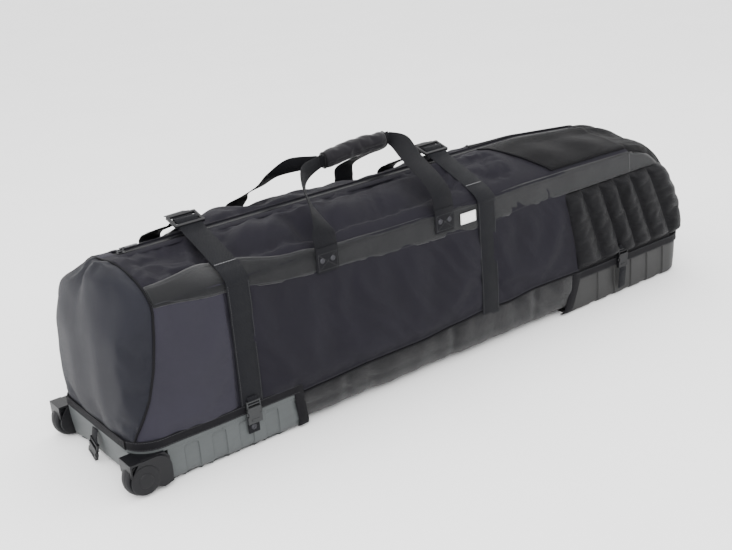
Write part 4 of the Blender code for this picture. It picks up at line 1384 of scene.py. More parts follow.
def grip_wrap():
    """Padded wrap folded round both handles, its edges meeting on the near side."""
    rings, sides_count = 34, 26
    verts = []
    for i in range(rings + 1):
        share = i / rings
        x = GRIP_START + (GRIP_STOP - GRIP_START) * share
        end = min(share, 1 - share) * (GRIP_STOP - GRIP_START)
        radius = 0.0128 + 0.0022 * ease(0, 0.012, end) + 0.0009 * math.sin(math.pi * share)
        for k in range(sides_count):
            turn = math.tau * k / sides_count
            seam = math.exp(-((turn - 3.45) / 0.16) ** 2)
            r = radius - 0.0022 * seam
            r += 0.0006 * noise.noise(Vector((x * 60, math.cos(turn) * 2, math.sin(turn) * 2)))
            verts.append((x, r * 0.92 * math.cos(turn), grip_z(x) + r * 1.06 * math.sin(turn)))
    mesh = mesh_from("grip_pad", verts, tube_faces(rings + 1, sides_count), 60)
    made = piece("grip_pad", mesh, GRIP_LOOK, "near_handle", "black_fabric", ("grip_wrap",))

    def held(place):
        end = min(place.x - GRIP_START, GRIP_STOP - place.x)
        return 1.0 if end < 0.003 else 0.06

    billow(made, held, 2.0, 0.02, 10, 0.0015)
    smoother = made.modifiers.new("finer", "SUBSURF")
    smoother.levels = smoother.render_levels = 1
    for name, turn in (("grip_edge_upper", 3.36), ("grip_edge_lower", 3.62)):
        path = []
        for i in range(25):
            x = GRIP_START + 0.003 + (GRIP_STOP - GRIP_START - 0.006) * i / 24
            r = 0.0145
            path.append((x, r * 0.92 * math.cos(turn), grip_z(x) + r * 1.06 * math.sin(turn)))
        stitches(name, path, (0, -1, 0), "near_handle", None, 0.0032, 0.0022, 0.0003)
    for name, x in (("grip_end_rear", GRIP_START + 0.001), ("grip_end_front", GRIP_STOP - 0.001)):
        path = [(x, 0.0124 * math.cos(math.tau * k / 24), grip_z(x) + 0.0140 * math.sin(
            math.tau * k / 24)) for k in range(25)]
        piece(name, tube_mesh(name, path, 0.0011, 6, 1), LOOKS["binding_tape"], "near_handle",
              "black_fabric")


GRIP_LOOK = woven("grip_weave", (0.0034, 0.0027, 0.0045), 0.60, 0.0009, 0.0004, 0.2)
grip_wrap()

# ---- blank label on the band ------------------------------------------------------------
LABEL_X, LABEL_Z = 0.0355, 0.2740
for side, sign in SIDES[:1]:
    y = side_out(LABEL_X, LABEL_Z, sign) + 0.0044
    shape = prism(rounded_box(LABEL_X - 0.0180, LABEL_X + 0.0180, LABEL_Z - 0.0100,
                              LABEL_Z + 0.0100, 0.0010, 3), 0.0, 0.0007,
                  lambda a, b, c: Vector((a, sign * (y + c), b)))
    piece("blank_label", joined("blank_label", [shape]), LABEL_LOOK, "case", "black_webbing")
    box = [(LABEL_X + a, sign * (y + 0.0009), LABEL_Z + b) for a, b in
           ((-0.0165, -0.0085), (0.0165, -0.0085), (0.0165, 0.0085), (-0.0165, 0.0085),
            (-0.0165, -0.0085))]
    stitches("blank_label_stitches", box, (0, sign, 0), "case", PALE_THREAD, 0.0034, 0.0022,
             0.0002)


# ---- moulded trays ----------------------------------------------------------------------
RIB_STEP = 0.0016


def tray_wall(stations, heights, surface):
    """Vertices and faces of a wall: one column for each station, one row for each height."""
    verts = [surface(station, row) for station in stations for row in range(heights)]
    faces = []
    for k in range(len(stations) - 1):
        for row in range(heights - 1):
            a = k * heights + row
            faces.append((a, a + heights, a + heights + 1, a + 1))
    return verts, faces


def in_rib(x, z, places, half, low, high, slant=0.0):
    """1 inside a rib's recess, 0 outside, with a narrow step and a rounded top."""
    best = 0.0
    for place in places:
        across = abs(x - place - slant * (z - low))
        if across > half + 0.004:
            continue
        corner = high - 0.006 * (1 - math.sqrt(max(1 - (across / half) ** 4, 0.0))) \
            if across < half else high - 0.006
        side = ease(half + RIB_STEP / 2, half - RIB_STEP / 2, across)
        top = ease(corner + 0.0008, corner - 0.0010, z)
        best = max(best, side * top)
    return best


def spread(x0, x1, step, marks, near):
    """Positions from x0 to x1, close together at the marks."""
    places = {round(x0, 6), round(x1, 6)}
    count = max(round(abs(x1 - x0) / step), 1)
    places |= {round(x0 + (x1 - x0) * i / count, 6) for i in range(count + 1)}
    low, high = sorted((x0, x1))
    for mark in marks:
        for k in range(-3, 4):
            x = mark + near * k / 3
            if low < x < high:
                places.add(round(x, 6))
    result = sorted(places, reverse=x1 < x0)
    kept = [result[0]]
    for x in result[1:]:
        if abs(x - kept[-1]) > 0.0003:
            kept.append(x)
    kept[-1] = result[-1]
    return kept


def tray_mesh(name, path, rib_places, rib_half, rib_low, rib_high, z_low, z_high, front_shift,
              end_tuck, notch):
    """A tray's outer wall along a path of x, y and outward direction, with ribs and notches."""
    levels = [0.0, 0.003, 0.0062, 0.0095, 0.014, 0.020, 0.030, 0.040]
    levels += [rib_high - 0.008, rib_high - 0.004, rib_high - 0.002, rib_high - 0.0005,
               rib_high + 0.001, 0.0600 if z_high > 0.0615 else z_high - 0.002, z_high]
    levels = sorted({round(min(max(level, z_low), z_high), 5) for level in levels} | {z_low})

    def surface(station, row):
        x, y, nx, ny, lead = station
        z = levels[row]
        share = (z - z_low) / (z_high - z_low)
        inset = 0.0
        if abs(ny) > 0.9:
            rib = in_rib(x, z, rib_places, rib_half, rib_low, rib_high)
            inset += 0.0024 * rib
            if notch:
                cut = in_rib(x, rib_low, rib_places, rib_half - 0.002, rib_low - 1, rib_high)
                z += notch * cut * ease(0.30, 0.0, share)
        rim = ease(0.010, 0.0, z - z_low)
        inset += 0.0070 * (1 - math.sqrt(max(1 - rim * rim, 0.0)))
        inset += end_tuck * (1 - share) ** 1.3 * abs(nx)
        inset -= 0.0006 * math.sin(math.pi * share)
        shift = front_shift * (1 - share) * lead
        return Vector((x - nx * inset + shift, y - ny * inset, z))

    verts, faces = tray_wall(path, len(levels), surface)
    count = len(path)
    rows = len(levels)
    faces.append(tuple(k * rows for k in range(count)))
    return mesh_from(name, verts, faces, 38)


def side_run(x0, x1, sign, marks, fade=True):
    places = spread(x0, x1, 0.009, marks, RIB_STEP * 0.7)
    return [(x, sign * HALF, 0.0, sign, 1.0 if n == 0 and fade else 0.0)
            for n, x in enumerate(places)]


def corner_run(cx, cy, radius, start, stop, steps=10):
    """Stations round a corner, angles in degrees from +X."""
    result = []
    for i in range(1, steps):
        turn = math.radians(start + (stop - start) * i / steps)
        result.append((cx + radius * math.cos(turn), cy + radius * math.sin(turn),
                       math.cos(turn), math.sin(turn), 0.0))
    return result


WHEEL_RIBS = (-0.5560, -0.5060, -0.4560, -0.4060)
HEAD_RIBS = (0.3700, 0.4200, 0.4700, 0.5200, 0.5700)
WELL_X, WELL_Y, WELL_TOP = -0.5977, 0.1127, 0.0628
END_X = -0.6500


def wheel_tray():
    half = 0.0130
    marks = [p + s * half for p in WHEEL_RIBS for s in (-1, 1)]
    front = -0.3590
    near = side_run(front, WELL_X, -1, marks)
    far = [(x, -y, nx, -ny, s) for x, y, nx, ny, s in reversed(near)]
    path = near
    path += [(WELL_X, -WELL_Y, -1.0, 0.0, 0.0), (END_X, -WELL_Y, -0.7, -0.7, 0.0)]
    path += [(END_X, y, -1.0, 0.0, 0.0) for y in (-0.08, -0.04, 0.0, 0.04, 0.08)]
    path += [(END_X, WELL_Y, -0.7, 0.7, 0.0), (WELL_X, WELL_Y, -1.0, 0.0, 0.0)]
    path += far
    low = WHEEL_TRAY[0].z
    mesh = tray_mesh("wheel_tray_wall", path, WHEEL_RIBS, half, 0.006, 0.0560, low, WELL_TOP,
                     0.0070, 0.0090, 0.0030)
    made = piece("wheel_tray_wall", mesh, None, "case", "grey_shell", ("wheel_end_shell",))
    thicken(made, 0.0026)
    soften(made, 0.0006, 2, 50)
    rim = side_run(-0.3540, END_X + TRAY_CORNER, -1, ())
    rim += corner_run(END_X + TRAY_CORNER, -HALF + TRAY_CORNER, TRAY_CORNER, -90, -180)
    rim += [(END_X, y, -1.0, 0.0, 0.0) for y in (-0.090, -0.045, 0.0, 0.045, 0.090)]
    rim += [(x, -y, nx, -ny, s) for x, y, nx, ny, s in reversed(rim[:-5])]
    verts = []
    for x, y, nx, ny, _ in rim:
        for out, z in ((-0.0026, WELL_TOP - 0.0030), (0.0, WELL_TOP - 0.0030),
                       (0.0012, WELL_TOP - 0.0022), (0.0014, TRAY_TOP - 0.0006),
                       (0.0006, TRAY_TOP + 0.0004), (-0.0026, TRAY_TOP + 0.0004)):
            verts.append(Vector((x + nx * out, y + ny * out, z)))
    rim_mesh = mesh_from("wheel_tray_rim", verts, tube_faces(len(rim), 6), 30)
    piece("wheel_tray_rim", rim_mesh, None, "case", "grey_shell")
    for side, sign in SIDES:
        outline = [(END_X + TRAY_CORNER, -HALF)]
        outline += [(s[0], s[1]) for s in corner_run(END_X + TRAY_CORNER, -HALF + TRAY_CORNER,
                                                     TRAY_CORNER, -90, -180)]
        outline += [(END_X, -HALF + TRAY_CORNER), (END_X, -0.085), (-0.590, -0.085),
                    (-0.590, -HALF)]
        shelf = prism([(a, -sign * b) for a, b in outline], WELL_TOP - 0.0012,
                      WELL_TOP + 0.0008, lambda a, b, c: Vector((a, b, c)))
        piece(f"{side}_well_roof", joined(f"{side}_well_roof", [shelf]), None, "case",
              "grey_shell")


def head_tray():
    half = 0.0110
    marks = [p + s * half for p in HEAD_RIBS for s in (-1, 1)]
    radius = TRAY_CORNER
    near = side_run(0.3240, 0.650 - radius, -1, marks)
    near += corner_run(0.650 - radius, -HALF + radius, radius, -90, 0)
    near += [(0.650, y, 1.0, 0.0, 0.0) for y in (-0.090, -0.045)]
    path = near + [(0.650, 0.0, 1.0, 0.0, 0.0)]
    path += [(x, -y, nx, -ny, s) for x, y, nx, ny, s in reversed(near)]
    mesh = tray_mesh("head_tray_wall", path, HEAD_RIBS, half, 0.006, 0.0750, 0.0, TRAY_TOP,
                     -0.0290, 0.0060, 0.0026)
    made = piece("head_tray_wall", mesh, None, "case", "dark_shell", ("head_end_shell",))
    thicken(made, 0.0026)
    soften(made, 0.0006, 2, 50)


wheel_tray()
head_tray()


# ---- bindings round the trays -----------------------------------------------------------
def binding(name, replaced, end_x, front_low, front_high, width):
    inward = 1 if end_x < 0 else -1
    radius = TRAY_CORNER + 0.002
    out = HALF + 0.0024
    centre = (end_x + inward * TRAY_CORNER, HALF - TRAY_CORNER)
    half_z = 0.0085
    middle = TRAY_TOP + 0.0090
    near = []
    steps = 20
    run = centre[0] - front_high
    for i in range(steps + 1):
        x = front_high + run * i / steps
        z = middle + 0.0008 * noise.noise(Vector((x * 25, end_x, 0)))
        near.append(((x, -out - 0.0006 * noise.noise(Vector((x * 40, 2, 0))), z), (0, 0, 1)))
    for i in range(1, 9):
        turn = math.radians(90 * i / 8)
        near.append(((centre[0] - inward * radius * math.sin(turn),
                      -centre[1] - radius * math.cos(turn), middle), (0, 0, 1)))
    far = [((x, -y, z), edge) for (x, y, z), edge in reversed(near)]
    route = near + far
    made = piece(name + "_band", strap_mesh(name + "_band", route, 2 * half_z, 0.0022, 2), None,
                 "case", "binding_tape", (replaced,))
    soften(made, 0.0005)
    for edge in (-1, 1):
        path = []
        for (x, y, z), _ in route:
            place = Vector((x, y, z + edge * 0.0062))
            flat = Vector((0, y, 0)).normalized()
            if (x - centre[0]) * inward < 0:
                pivot = Vector((centre[0], math.copysign(centre[1], y), 0))
                if abs(y) < centre[1]:
                    flat = Vector((-inward, 0, 0))
                else:
                    flat = (Vector((x, y, 0)) - pivot).normalized()
            path.append(place + flat * 0.0013)
        stitches(f"{name}_stitches_{'low' if edge < 0 else 'high'}", path,
                 lambda p: Vector((p.x if abs(p.y) < 0.092 else 0, p.y, 0)), "case")
    for side, sign in SIDES:
        lean = (front_high - front_low)
        front = [((front_low, sign * (HALF - 0.006), 0.0040), (1, 0, 0)),
                 ((front_low + lean * 0.10, sign * (out - 0.0006), 0.0100), (1, 0, 0)),
                 ((front_low + lean * 0.45, sign * (out + 0.0002), 0.0340), (1, 0, -0.1)),
                 ((front_low + lean * 0.80, sign * (out + 0.0002), 0.0600), (1, 0, -0.1)),
                 ((front_low + lean, sign * (out + 0.0003), 0.0830), (1, 0, -0.1))]
        piece(f"{name}_{side}_front", strap_mesh(f"{name}_{side}_front", front, width, 0.0022),
              None, "case", "binding_tape")


binding("wheel_tray_binding", "wheel_shell_binding", -0.650, -0.3450, -0.3520, 0.0190)
binding("head_tray_binding", "head_shell_binding", 0.650, 0.2890, 0.3170, 0.0230)


# ---- fabric between the trays -----------------------------------------------------------
def bottom():
    """The fabric sling between the trays and the seams where it meets the sides."""
    radius = 0.034
    low = 0.0060
    out = HALF + 0.0004
    arc_steps = 9
    profile = []
    for i in range(8):
        profile.append((-out, 1 - i / 8))
    for i in range(arc_steps + 1):
        turn = math.radians(90 * i / arc_steps)
        profile.append((-out + radius - radius * math.cos(turn), -math.sin(turn)))
    for i in range(1, 12):
        profile.append((-(out - radius) * (1 - i / 12), None))
    profile.append((0.0, None))
    full = profile + [(-y, s) for y, s in reversed(profile[:-1])]
    rows = len(full) - 1

    def surface(u, v):
        index = round(v * rows)
        y, share = full[index]
        start = -0.3500
        x_mid = start + (0.300 - start) * u
        top = wall_foot(x_mid) if x_mid > start + 0.001 else 0.0640
        bend = low + radius
        if share is None:
            z = low + 0.0012 * noise.noise(Vector((x_mid * 14, y * 14, 2)))
        elif share >= 0:
            z = bend + (top + 0.0010 - bend) * share
        else:
            z = bend - radius * -share
        slant = max(z, 0.004) / 0.0835
        end = 0.2900 + 0.0270 * slant
        x = start + (end - start) * u
        fold = 0.0
        if 0 < u < 1 and (share is None or share < 1):
            side = math.copysign(1, y)
            reach = 1.0 if share is not None else 0.4
            wave = noise.noise(Vector((x * 24, side * 3, z * 14)))
            seams = sum(math.exp(-((x - s) / 0.007) ** 2) for s in (-0.254, -0.010, 0.200))
            puff = math.sin(math.pi * min(max(share or 0.0, 0.0), 1.0)) if share else 0.0
            fold = (0.0030 * wave + 0.0022 * puff - 0.0026 * seams) * reach
            fold += (0.0026 * creases(x, z, 8.0, 1.4, 1.0)) * reach
        flat = Vector((0, y, (z - 0.06) * 1.2))
        flat = flat.normalized() if share is not None else Vector((0, 0, -1))
        if share is None:
            fold *= 0.3
        place = Vector((x, y, z)) + flat * fold
        place.z = max(place.z, 0.0040)
        return place

    mesh = grid_mesh("sling_fabric", surface, 92, rows, (0, 0, -1))
    made = piece("sling_fabric", mesh, SLING_LOOK, "case", "black_fabric", ("bottom_panel",))
    sewn(made)
    for side, sign in SIDES:
        path = []
        for i in range(67):
            x = -0.3480 + (0.3200 + 0.3480) * i / 66
            path.append((x, sign * (HALF + 0.0012), wall_foot(x) if x > -0.347 else 0.064))
        piece(f"{side}_foot_seam", tube_mesh(f"{side}_foot_seam", path, PIPING, 8, 2),
              LOOKS["binding_tape"], "case", "binding_tape")
        row = [(x, y + sign * 0.0016, z + 0.0055) for x, y, z in path]
        stitches(f"{side}_foot_stitches", row, (0, sign, 0), "case")


SLING_LOOK = woven("sling_weave", (0.0032, 0.0031, 0.0040), 0.78, 0.0013, 0.0009, 0.2)
bottom()


# ---- release buckles on the trays -------------------------------------------------------
def plate(a0, a1, b0, b1):
    return [(a0, b0), (a0, b1), (a1, b1), (a1, b0)]


def buckle_solids(x, z, sign, out, height=0.040, half=0.0135):
    """A side-release buckle: slotted socket, plug with two side prongs and its ladder bar."""
    def world(a, b, c):
        return Vector((x + a, sign * (out + c), z + b))

    solids = []
    socket = [(-half, 0.0), (-half, height * 0.30), (-half * 0.80, height * 0.36),
              (-half * 0.84, height * 0.50), (-half, height * 0.56), (-half, height * 0.62),
              (half, height * 0.62), (half, height * 0.56), (half * 0.84, height * 0.50),
              (half * 0.80, height * 0.36), (half, height * 0.30), (half, 0.0)]
    solids.append(prism(socket, 0.0, 0.0058, world))
    for side in (-1, 1):
        prong = [(side * half * 0.86, height * 0.34), (side * (half + 0.0012), height * 0.38),
                 (side * (half + 0.0014), height * 0.48), (side * half * 0.88, height * 0.54)]
        solids.append(prism(prong, 0.0012, 0.0046, world))
    plug = plate(-half * 0.94, half * 0.94, height * 0.62, height * 0.72)
    solids.append(prism(plug, 0.0006, 0.0064, world))
    for b0, b1, c0, c1 in ((0.80, 0.86, 0.0012, 0.0044), (0.94, 1.0, 0.0004, 0.0054)):
        rung = plate(-half * 0.9, half * 0.9, height * b0, height * b1)
        solids.append(prism(rung, c0, c1, world))
    for side in (-1, 1):
        rail = plate(side * half * 0.78, side * half * 0.96, height * 0.70, height)
        solids.append(prism(rail, 0.0006, 0.0052, world))
    ridge = plate(-half * 0.5, half * 0.5, height * 0.12, height * 0.20)
    solids.append(prism(ridge, 0.0056, 0.0066, world))
    return solids


def tray_buckle(sign, name, node, x, top, tail_low, pale):
    strap_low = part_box(node)[1].z
    out = 0.1450
    solids = buckle_solids(x, top - 0.0440, sign, out)
    # pale picks the plastic with the painted highlight instead of the plain black plastic.
    made = piece(name, joined(name, solids), HIGHLIGHT_PAINTED_PLASTIC if pale else None, node,
                 "black_plastic", (node,))
    soften(made, 0.0005)
    web = [((x, sign * (out + 0.0020), strap_low + 0.0010), (1, 0, 0)),
           ((x, sign * (out + 0.0030), top - 0.0050), (1, 0, 0)),
           ((x, sign * (out + 0.0016), top - 0.0110), (1, 0, 0))]
    piece(name + "_web", strap_mesh(name + "_web", web, BUCKLE_WEB), None, node, "black_webbing")
    if tail_low is not None:
        tail = [((x, sign * (out + 0.0020), top - 0.0350), (1, 0, 0)),
                ((x - 0.001, sign * (out + 0.0050), top - 0.0500), (1, 0, 0)),
                ((x - 0.003, sign * (out + 0.0060), (top + tail_low) / 2 - 0.012), (1, 0, 0.1)),
                ((x - 0.004, sign * (out + 0.0040), tail_low), (1, 0, 0.1))]
        piece(name + "_tail", strap_mesh(name + "_tail", tail, 0.0200), None, node,
              "black_webbing")


# Grey plastic with a painted highlight: the wheel-end strap buckle is black, and its lighter grey
# stands in for the light on it.
HIGHLIGHT_PAINTED_PLASTIC = moulded("highlight_painted_acetal", (0.022, 0.023, 0.024), 0.40)
for side, sign in SIDES:
    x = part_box(f"{side}_shell_anchor")
    middle = (x[0].x + x[1].x) / 2
    anchor = [((middle, sign * (HALF + 0.0030), 0.0860), (1, 0, 0)),
              ((middle, sign * (HALF + 0.0036), 0.0660), (1, 0, 0)),
              ((middle, sign * (HALF + 0.0018), 0.0520), (1, 0, 0)),
              ((middle, sign * (HALF + 0.0014), 0.0300), (1, 0, 0))]
    piece(f"{side}_anchor_web", strap_mesh(f"{side}_anchor_web", anchor, 0.0220, 0.0022), None,
          "case", "black_webbing", (f"{side}_shell_anchor",))
    rivet(f"{side}_anchor_eyelet", (middle, sign * (HALF + 0.0022), 0.0400), sign, 0.0052)
    # The wheel-end strap buckle gets the plastic with the painted highlight.
    tray_buckle(sign, f"{side}_strap_buckle", f"{side}_wheel_shell_buckle", middle, 0.0940,
                None, True)
    tray_buckle(sign, f"{side}_tray_buckle", f"{side}_head_shell_buckle", 0.4450, 0.1060,
                0.0190, False)


def end_buckle():
    """The buckle on the wheel end, hanging tilted on its webbing."""
    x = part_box("wheel_end_buckle")[1].x
    hang = math.radians(28)

    def turned(v):
        down = 0.0420 - v.z
        return Vector((x - 0.0016 - v.y, v.x * math.cos(hang) + down * math.sin(hang),
                       0.0420 - down * math.cos(hang) + v.x * math.sin(hang)))

    solids = [([turned(v) for v in verts], faces)
              for verts, faces in buckle_solids(0.0, 0.0060, 1, 0.0, 0.0380, 0.0130)]
    made = piece("end_face_buckle", joined("end_face_buckle", solids), None, "wheel_end_buckle",
                 "black_plastic", ("wheel_end_buckle",))
    soften(made, 0.0005)
    web = [((x, 0, 0.0640), (0, 1, 0)), ((x - 0.0030, 0, 0.0520), (0, 1, 0)),
           ((x - 0.0045, 0, 0.0390), (0, 1, 0))]
    piece("end_face_buckle_web", strap_mesh("end_face_buckle_web", web, BUCKLE_WEB), None,
          "wheel_end_buckle", "black_webbing")


end_buckle()

# ---- towing loop, liners and inside straps ----------------------------------------------
low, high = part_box("pull_handle")
middle = (low.z + high.z) / 2
loop = [((0.6440, -0.0820, middle), (0, 0, 1)), ((0.6505, -0.0680, middle), (0, 0, 1)),
        ((0.6560, -0.0540, middle), (0, 0, 1)), ((0.6690, -0.0350, middle), (0, 0.0, 1)),
        ((0.6735, -0.0120, middle), (0, 0, 1))]
loop += [((x, -y, z), edge) for (x, y, z), edge in reversed(loop)]
piece("towing_loop", strap_mesh("towing_loop", loop, high.z - low.z, 0.0024), None, "case",
      "black_webbing", ("pull_handle",))


def liner(name, node):
    low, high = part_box(node)
    mesh = grid_mesh(name, lambda u, v: (low.x + (high.x - low.x) * u,
                                         low.y + (high.y - low.y) * v,
                                         high.z - 0.0008 - 0.0016 * (
                                             1 - min(1, 9 * min(u, 1 - u), 9 * min(v, 1 - v)))
                                         + 0.0006 * math.cos(u * 60) * math.cos(v * 60)),
                     44, 44, (0, 0, 1))
    made = piece(name, mesh, None, "case", "foam_liner", (node,))
    thicken(made, 0.0040)


liner("wheel_tray_liner", "wheel_shell_liner")
liner("head_tray_liner", "head_shell_liner")
for number in (1, 2):
    low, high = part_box(f"cinch_strap_{number}")
    x = (low.x + high.x) / 2
    z = low.z + 0.0010
    route = [((x, -0.1200 + 0.0200 * i, z + 0.0005 * (i % 2)), (1, 0, 0)) for i in range(13)]
    piece(f"inside_strap_{number}", strap_mesh(f"inside_strap_{number}", route, 0.0380, WEB, 3),
          None, "case", "black_webbing", (f"cinch_strap_{number}",))
    bars = [bar(x - 0.026, x + 0.026, -0.022, -0.016, z + 0.001, z + 0.006, 0.002),
            bar(x - 0.026, x + 0.026, 0.016, 0.022, z + 0.001, z + 0.006, 0.002),
            bar(x - 0.021, x + 0.021, -0.002, 0.002, z + 0.002, z + 0.006, 0.001),
            bar(x - 0.026, x - 0.021, -0.020, 0.020, z + 0.001, z + 0.006, 0.001),
            bar(x + 0.021, x + 0.026, -0.020, 0.020, z + 0.001, z + 0.006, 0.001)]
    soften(piece(f"inside_buckle_{number}", joined(f"inside_buckle_{number}", bars), None, "case",
                 "black_plastic"), 0.0005)

# ---- wheels and their forks -------------------------------------------------------------
WHEEL_LOW, WHEEL_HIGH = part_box("near_tyre")
AXLE = Vector((JOINTS["near_wheel_spin"]["pos_m"]))
TYRE_R = (WHEEL_HIGH.z - WHEEL_LOW.z) / 2
TYRE_HALF = (WHEEL_HIGH.y - WHEEL_LOW.y) / 2
HUB_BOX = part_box("near_wheel_hub")
HUB_RADIUS = (HUB_BOX[1].z - HUB_BOX[0].z) / 2


def wheel(side, sign):
    centre = Vector((AXLE.x, sign * abs(AXLE.y), AXLE.z))
    half = TYRE_HALF
    tread = []
    for degrees in range(-90, 91, 10):
        turn = math.radians(degrees)
        drop = 0.0055 * (1 - math.cos(turn))
        groove = 0.0006 if abs(degrees) == 30 else 0.0
        tread.append((TYRE_R - drop - groove, half * math.sin(turn)))
    profile = [(HUB_RADIUS + 0.0004, -half + 0.0012), (HUB_RADIUS + 0.0030, -half + 0.0002)]
    profile += tread
    profile += [(HUB_RADIUS + 0.0030, half - 0.0002), (HUB_RADIUS + 0.0004, half - 0.0012),
                (HUB_RADIUS + 0.0004, -half + 0.0012)]
    piece(f"{side}_tread", lathe(f"{side}_tread", profile, centre, sign, 72), None,
          f"{side}_wheel", "tyre_rubber", (f"{side}_tyre",))
    bore = 0.0092
    face = half - 0.0010
    profile = [(bore, -face), (bore + 0.002, -face), (bore + 0.0025, -face + 0.0016),
               (HUB_RADIUS - 0.0024, -face + 0.0016), (HUB_RADIUS - 0.0018, -face),
               (HUB_RADIUS, -face), (HUB_RADIUS, face), (HUB_RADIUS - 0.0018, face),
               (HUB_RADIUS - 0.0024, face - 0.0016), (bore + 0.0025, face - 0.0016),
               (bore + 0.002, face), (bore, face), (bore, -face)]
    piece(f"{side}_hub", lathe(f"{side}_hub", profile, centre, sign, 48), None, f"{side}_wheel",
          "hub_plastic", (f"{side}_wheel_hub",))
    for k in range(5):
        turn = math.tau * k / 5
        solids = []
        for where in (face - 0.0018, -face + 0.0004):
            ahead = Vector((math.cos(turn), 0, math.sin(turn)))
            across = Vector((-math.sin(turn), 0, math.cos(turn)))
            solids.append(prism([(bore + 0.0015, -0.0011), (HUB_RADIUS - 0.0012, -0.0011),
                                 (HUB_RADIUS - 0.0012, 0.0011), (bore + 0.0015, 0.0011)],
                                where, where + 0.0014,
                                lambda a, b, c, p=ahead, q=across:
                                centre + p * a + q * b + Vector((0, c, 0))))
        piece(f"{side}_hub_spoke_{k}", joined(f"{side}_hub_spoke_{k}", solids), None,
              f"{side}_wheel", "hub_plastic")


def fork(side, sign):
    """Housing round a wheel: round outer cheek, pointed guard, inner cheek and bridge."""
    low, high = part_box(f"{side}_wheel_housing")
    outer = max(abs(low.y), abs(high.y))
    inner = min(abs(low.y), abs(high.y))
    top = high.z
    cx, cz = AXLE.x, AXLE.z

    def world(a, b, c):
        return Vector((a, sign * c, b))

    cheek = [(cx - 0.0060, top - 0.0005), (cx - 0.0190, cz + 0.0150)]
    for degrees in range(150, 311, 10):
        turn = math.radians(degrees)
        cheek.append((cx + 0.0225 * math.cos(turn), cz + 0.0225 * math.sin(turn)))
    cheek += [(cx + 0.0300, 0.0065), (high.x - 0.0005, 0.0110), (high.x, 0.0300)]
    for degrees in range(0, 91, 9):
        turn = math.radians(degrees)
        cheek.append((high.x - 0.0250 + 0.0250 * math.cos(turn),
                      top - 0.0250 + 0.0250 * math.sin(turn)))
    face = abs(AXLE.y) + TYRE_HALF + 0.0012
    solids = [prism(cheek, face, outer, world)]
    near_tyre = abs(AXLE.y) - TYRE_HALF - 0.0012
    solids.append(prism(cheek, inner, near_tyre, world))
    bridge = [(cx + 0.0325, 0.0080), (high.x, 0.0110), (high.x, top - 0.010),
              (high.x - 0.008, top), (cx - 0.0200, top), (cx - 0.0200, top - 0.0020)]
    for degrees in range(120, -31, -10):
        turn = math.radians(degrees)
        rise = min(0.0316 * math.sin(turn), top - 0.0020 - cz)
        bridge.append((cx + 0.0320 * math.cos(turn), cz + rise))
    solids.append(prism(bridge, near_tyre, face, world))
    made = piece(f"{side}_fork", joined(f"{side}_fork", solids), None, "case", "black_plastic",
                 (f"{side}_wheel_housing",))
    soften(made, 0.0006, 2, 30)
    guard = [(cx - 0.0225, top + 0.0005), (cx - 0.0015, top + 0.0005), (cx - 0.0060, top - 0.0032),
             (cx - 0.0180, top - 0.0034), (cx - 0.0196, top - 0.0060),
             (cx - 0.0196, top - 0.0215), (cx - 0.0214, top - 0.0245),
             (cx - 0.0225, top - 0.0215)]
    made = piece(f"{side}_fork_guard",
                 joined(f"{side}_fork_guard", [prism(guard, inner, outer + 0.0004, world)]),
                 None, "case", "black_plastic")
    soften(made, 0.0006, 2, 30)
    start = outer - 0.0004
    disc = [(0, -0.001), (0.0240, -0.001), (0.0246, 0.0004), (0.0240, 0.0016),
            (0.0222, 0.0022), (0.0125, 0.0026), (0.0119, 0.0034), (0.0108, 0.0039),
            (0, 0.0041)]
    piece(f"{side}_cheek_disc",
          lathe(f"{side}_cheek_disc", disc, (cx, sign * start, cz), sign, 56), CHEEK_LOOK,
          "case", "black_plastic")


CHEEK_LOOK = moulded("cheek_plastic", (0.0034, 0.0034, 0.0044), 0.50)
for side, sign in SIDES:
    wheel(side, sign)
    fork(side, sign)
for side, _ in SIDES:
    for part, slot in (("bearing_sleeve", "bearing_steel"), ("axle", "axle_steel")):
        obj = bpy.data.objects[f"{side}_{part}"]
        for entry in obj.material_slots:
            entry.material = LOOKS[slot]

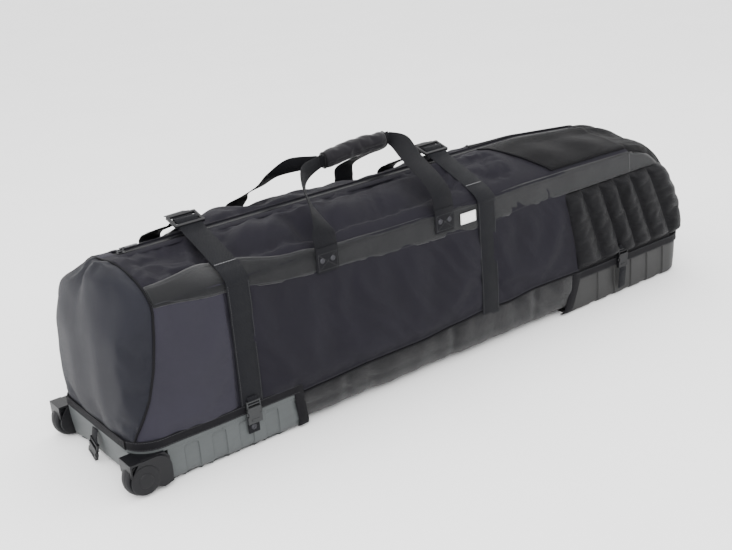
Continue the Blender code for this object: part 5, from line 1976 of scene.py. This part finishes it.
# ---- floor, light and camera ------------------------------------------------------------
def backdrop():
    floor = bpy.data.meshes.new("floor")
    reach = 30.0
    floor.from_pydata([(-reach, -reach, 0), (reach, -reach, 0), (reach, reach, 0),
                       (-reach, reach, 0)], [], [(0, 1, 2, 3)])
    made = bpy.data.objects.new("floor", floor)
    bpy.context.scene.collection.objects.link(made)
    n = Nodes("pale_floor")
    n.link(n.ramp(n.noise(3.0), [(0.3, (0.93, 0.93, 0.93)), (0.7, (0.95, 0.95, 0.95))]),
           n.shader.inputs["Base Color"])
    n.set(Roughness=0.9, Specular_IOR_Level=0.1)
    floor.materials.append(n.material)


def lamp(name, place, aim, size, power):
    """A soft rectangular lamp."""
    light = bpy.data.lights.new(name, "AREA")
    light.shape = "RECTANGLE"
    light.size, light.size_y = size
    light.energy = power
    made = bpy.data.objects.new(name, light)
    made.location = place
    made.rotation_euler = (Vector(aim) - Vector(place)).to_track_quat("-Z", "Y").to_euler()
    bpy.context.scene.collection.objects.link(made)


def camera():
    """The photo's point of view."""
    data = bpy.data.cameras.new("photo_view")
    data.sensor_width = 36.0
    data.lens = 56.4
    data.clip_start = 0.05
    made = bpy.data.objects.new("photo_view", data)
    bpy.context.scene.collection.objects.link(made)
    heading, pitch, roll = math.radians(54.14), math.radians(21.31), math.radians(-4.55)
    flat = Vector((math.cos(heading), math.sin(heading), 0))
    right = Vector((math.sin(heading), -math.cos(heading), 0))
    ahead = flat * math.cos(pitch) - Vector((0, 0, math.sin(pitch)))
    up = right.cross(ahead)
    right2 = right * math.cos(roll) + up * math.sin(roll)
    up2 = up * math.cos(roll) - right * math.sin(roll)
    place = Matrix((right2, up2, -ahead)).transposed().to_4x4()
    place.translation = (-1.248, -1.599, 0.9325)
    made.matrix_world = place
    bpy.context.scene.camera = made


backdrop()
world = bpy.data.worlds.new("studio")
world.use_nodes = True
world.node_tree.nodes["Background"].inputs["Color"].default_value = (1.0, 1.0, 1.0, 1.0)
world.node_tree.nodes["Background"].inputs["Strength"].default_value = 2.2
bpy.context.scene.world = world
lamp("key", (-1.6, -2.4, 2.4), (0, 0, 0.15), (1.8, 1.8), 95)
lamp("left", (-3.0, 0.4, 1.4), (-0.5, 0, 0.15), (1.6, 1.2), 22)
lamp("top", (0.3, 0.3, 2.8), (0, 0, 0.2), (2.4, 1.6), 25)
camera()
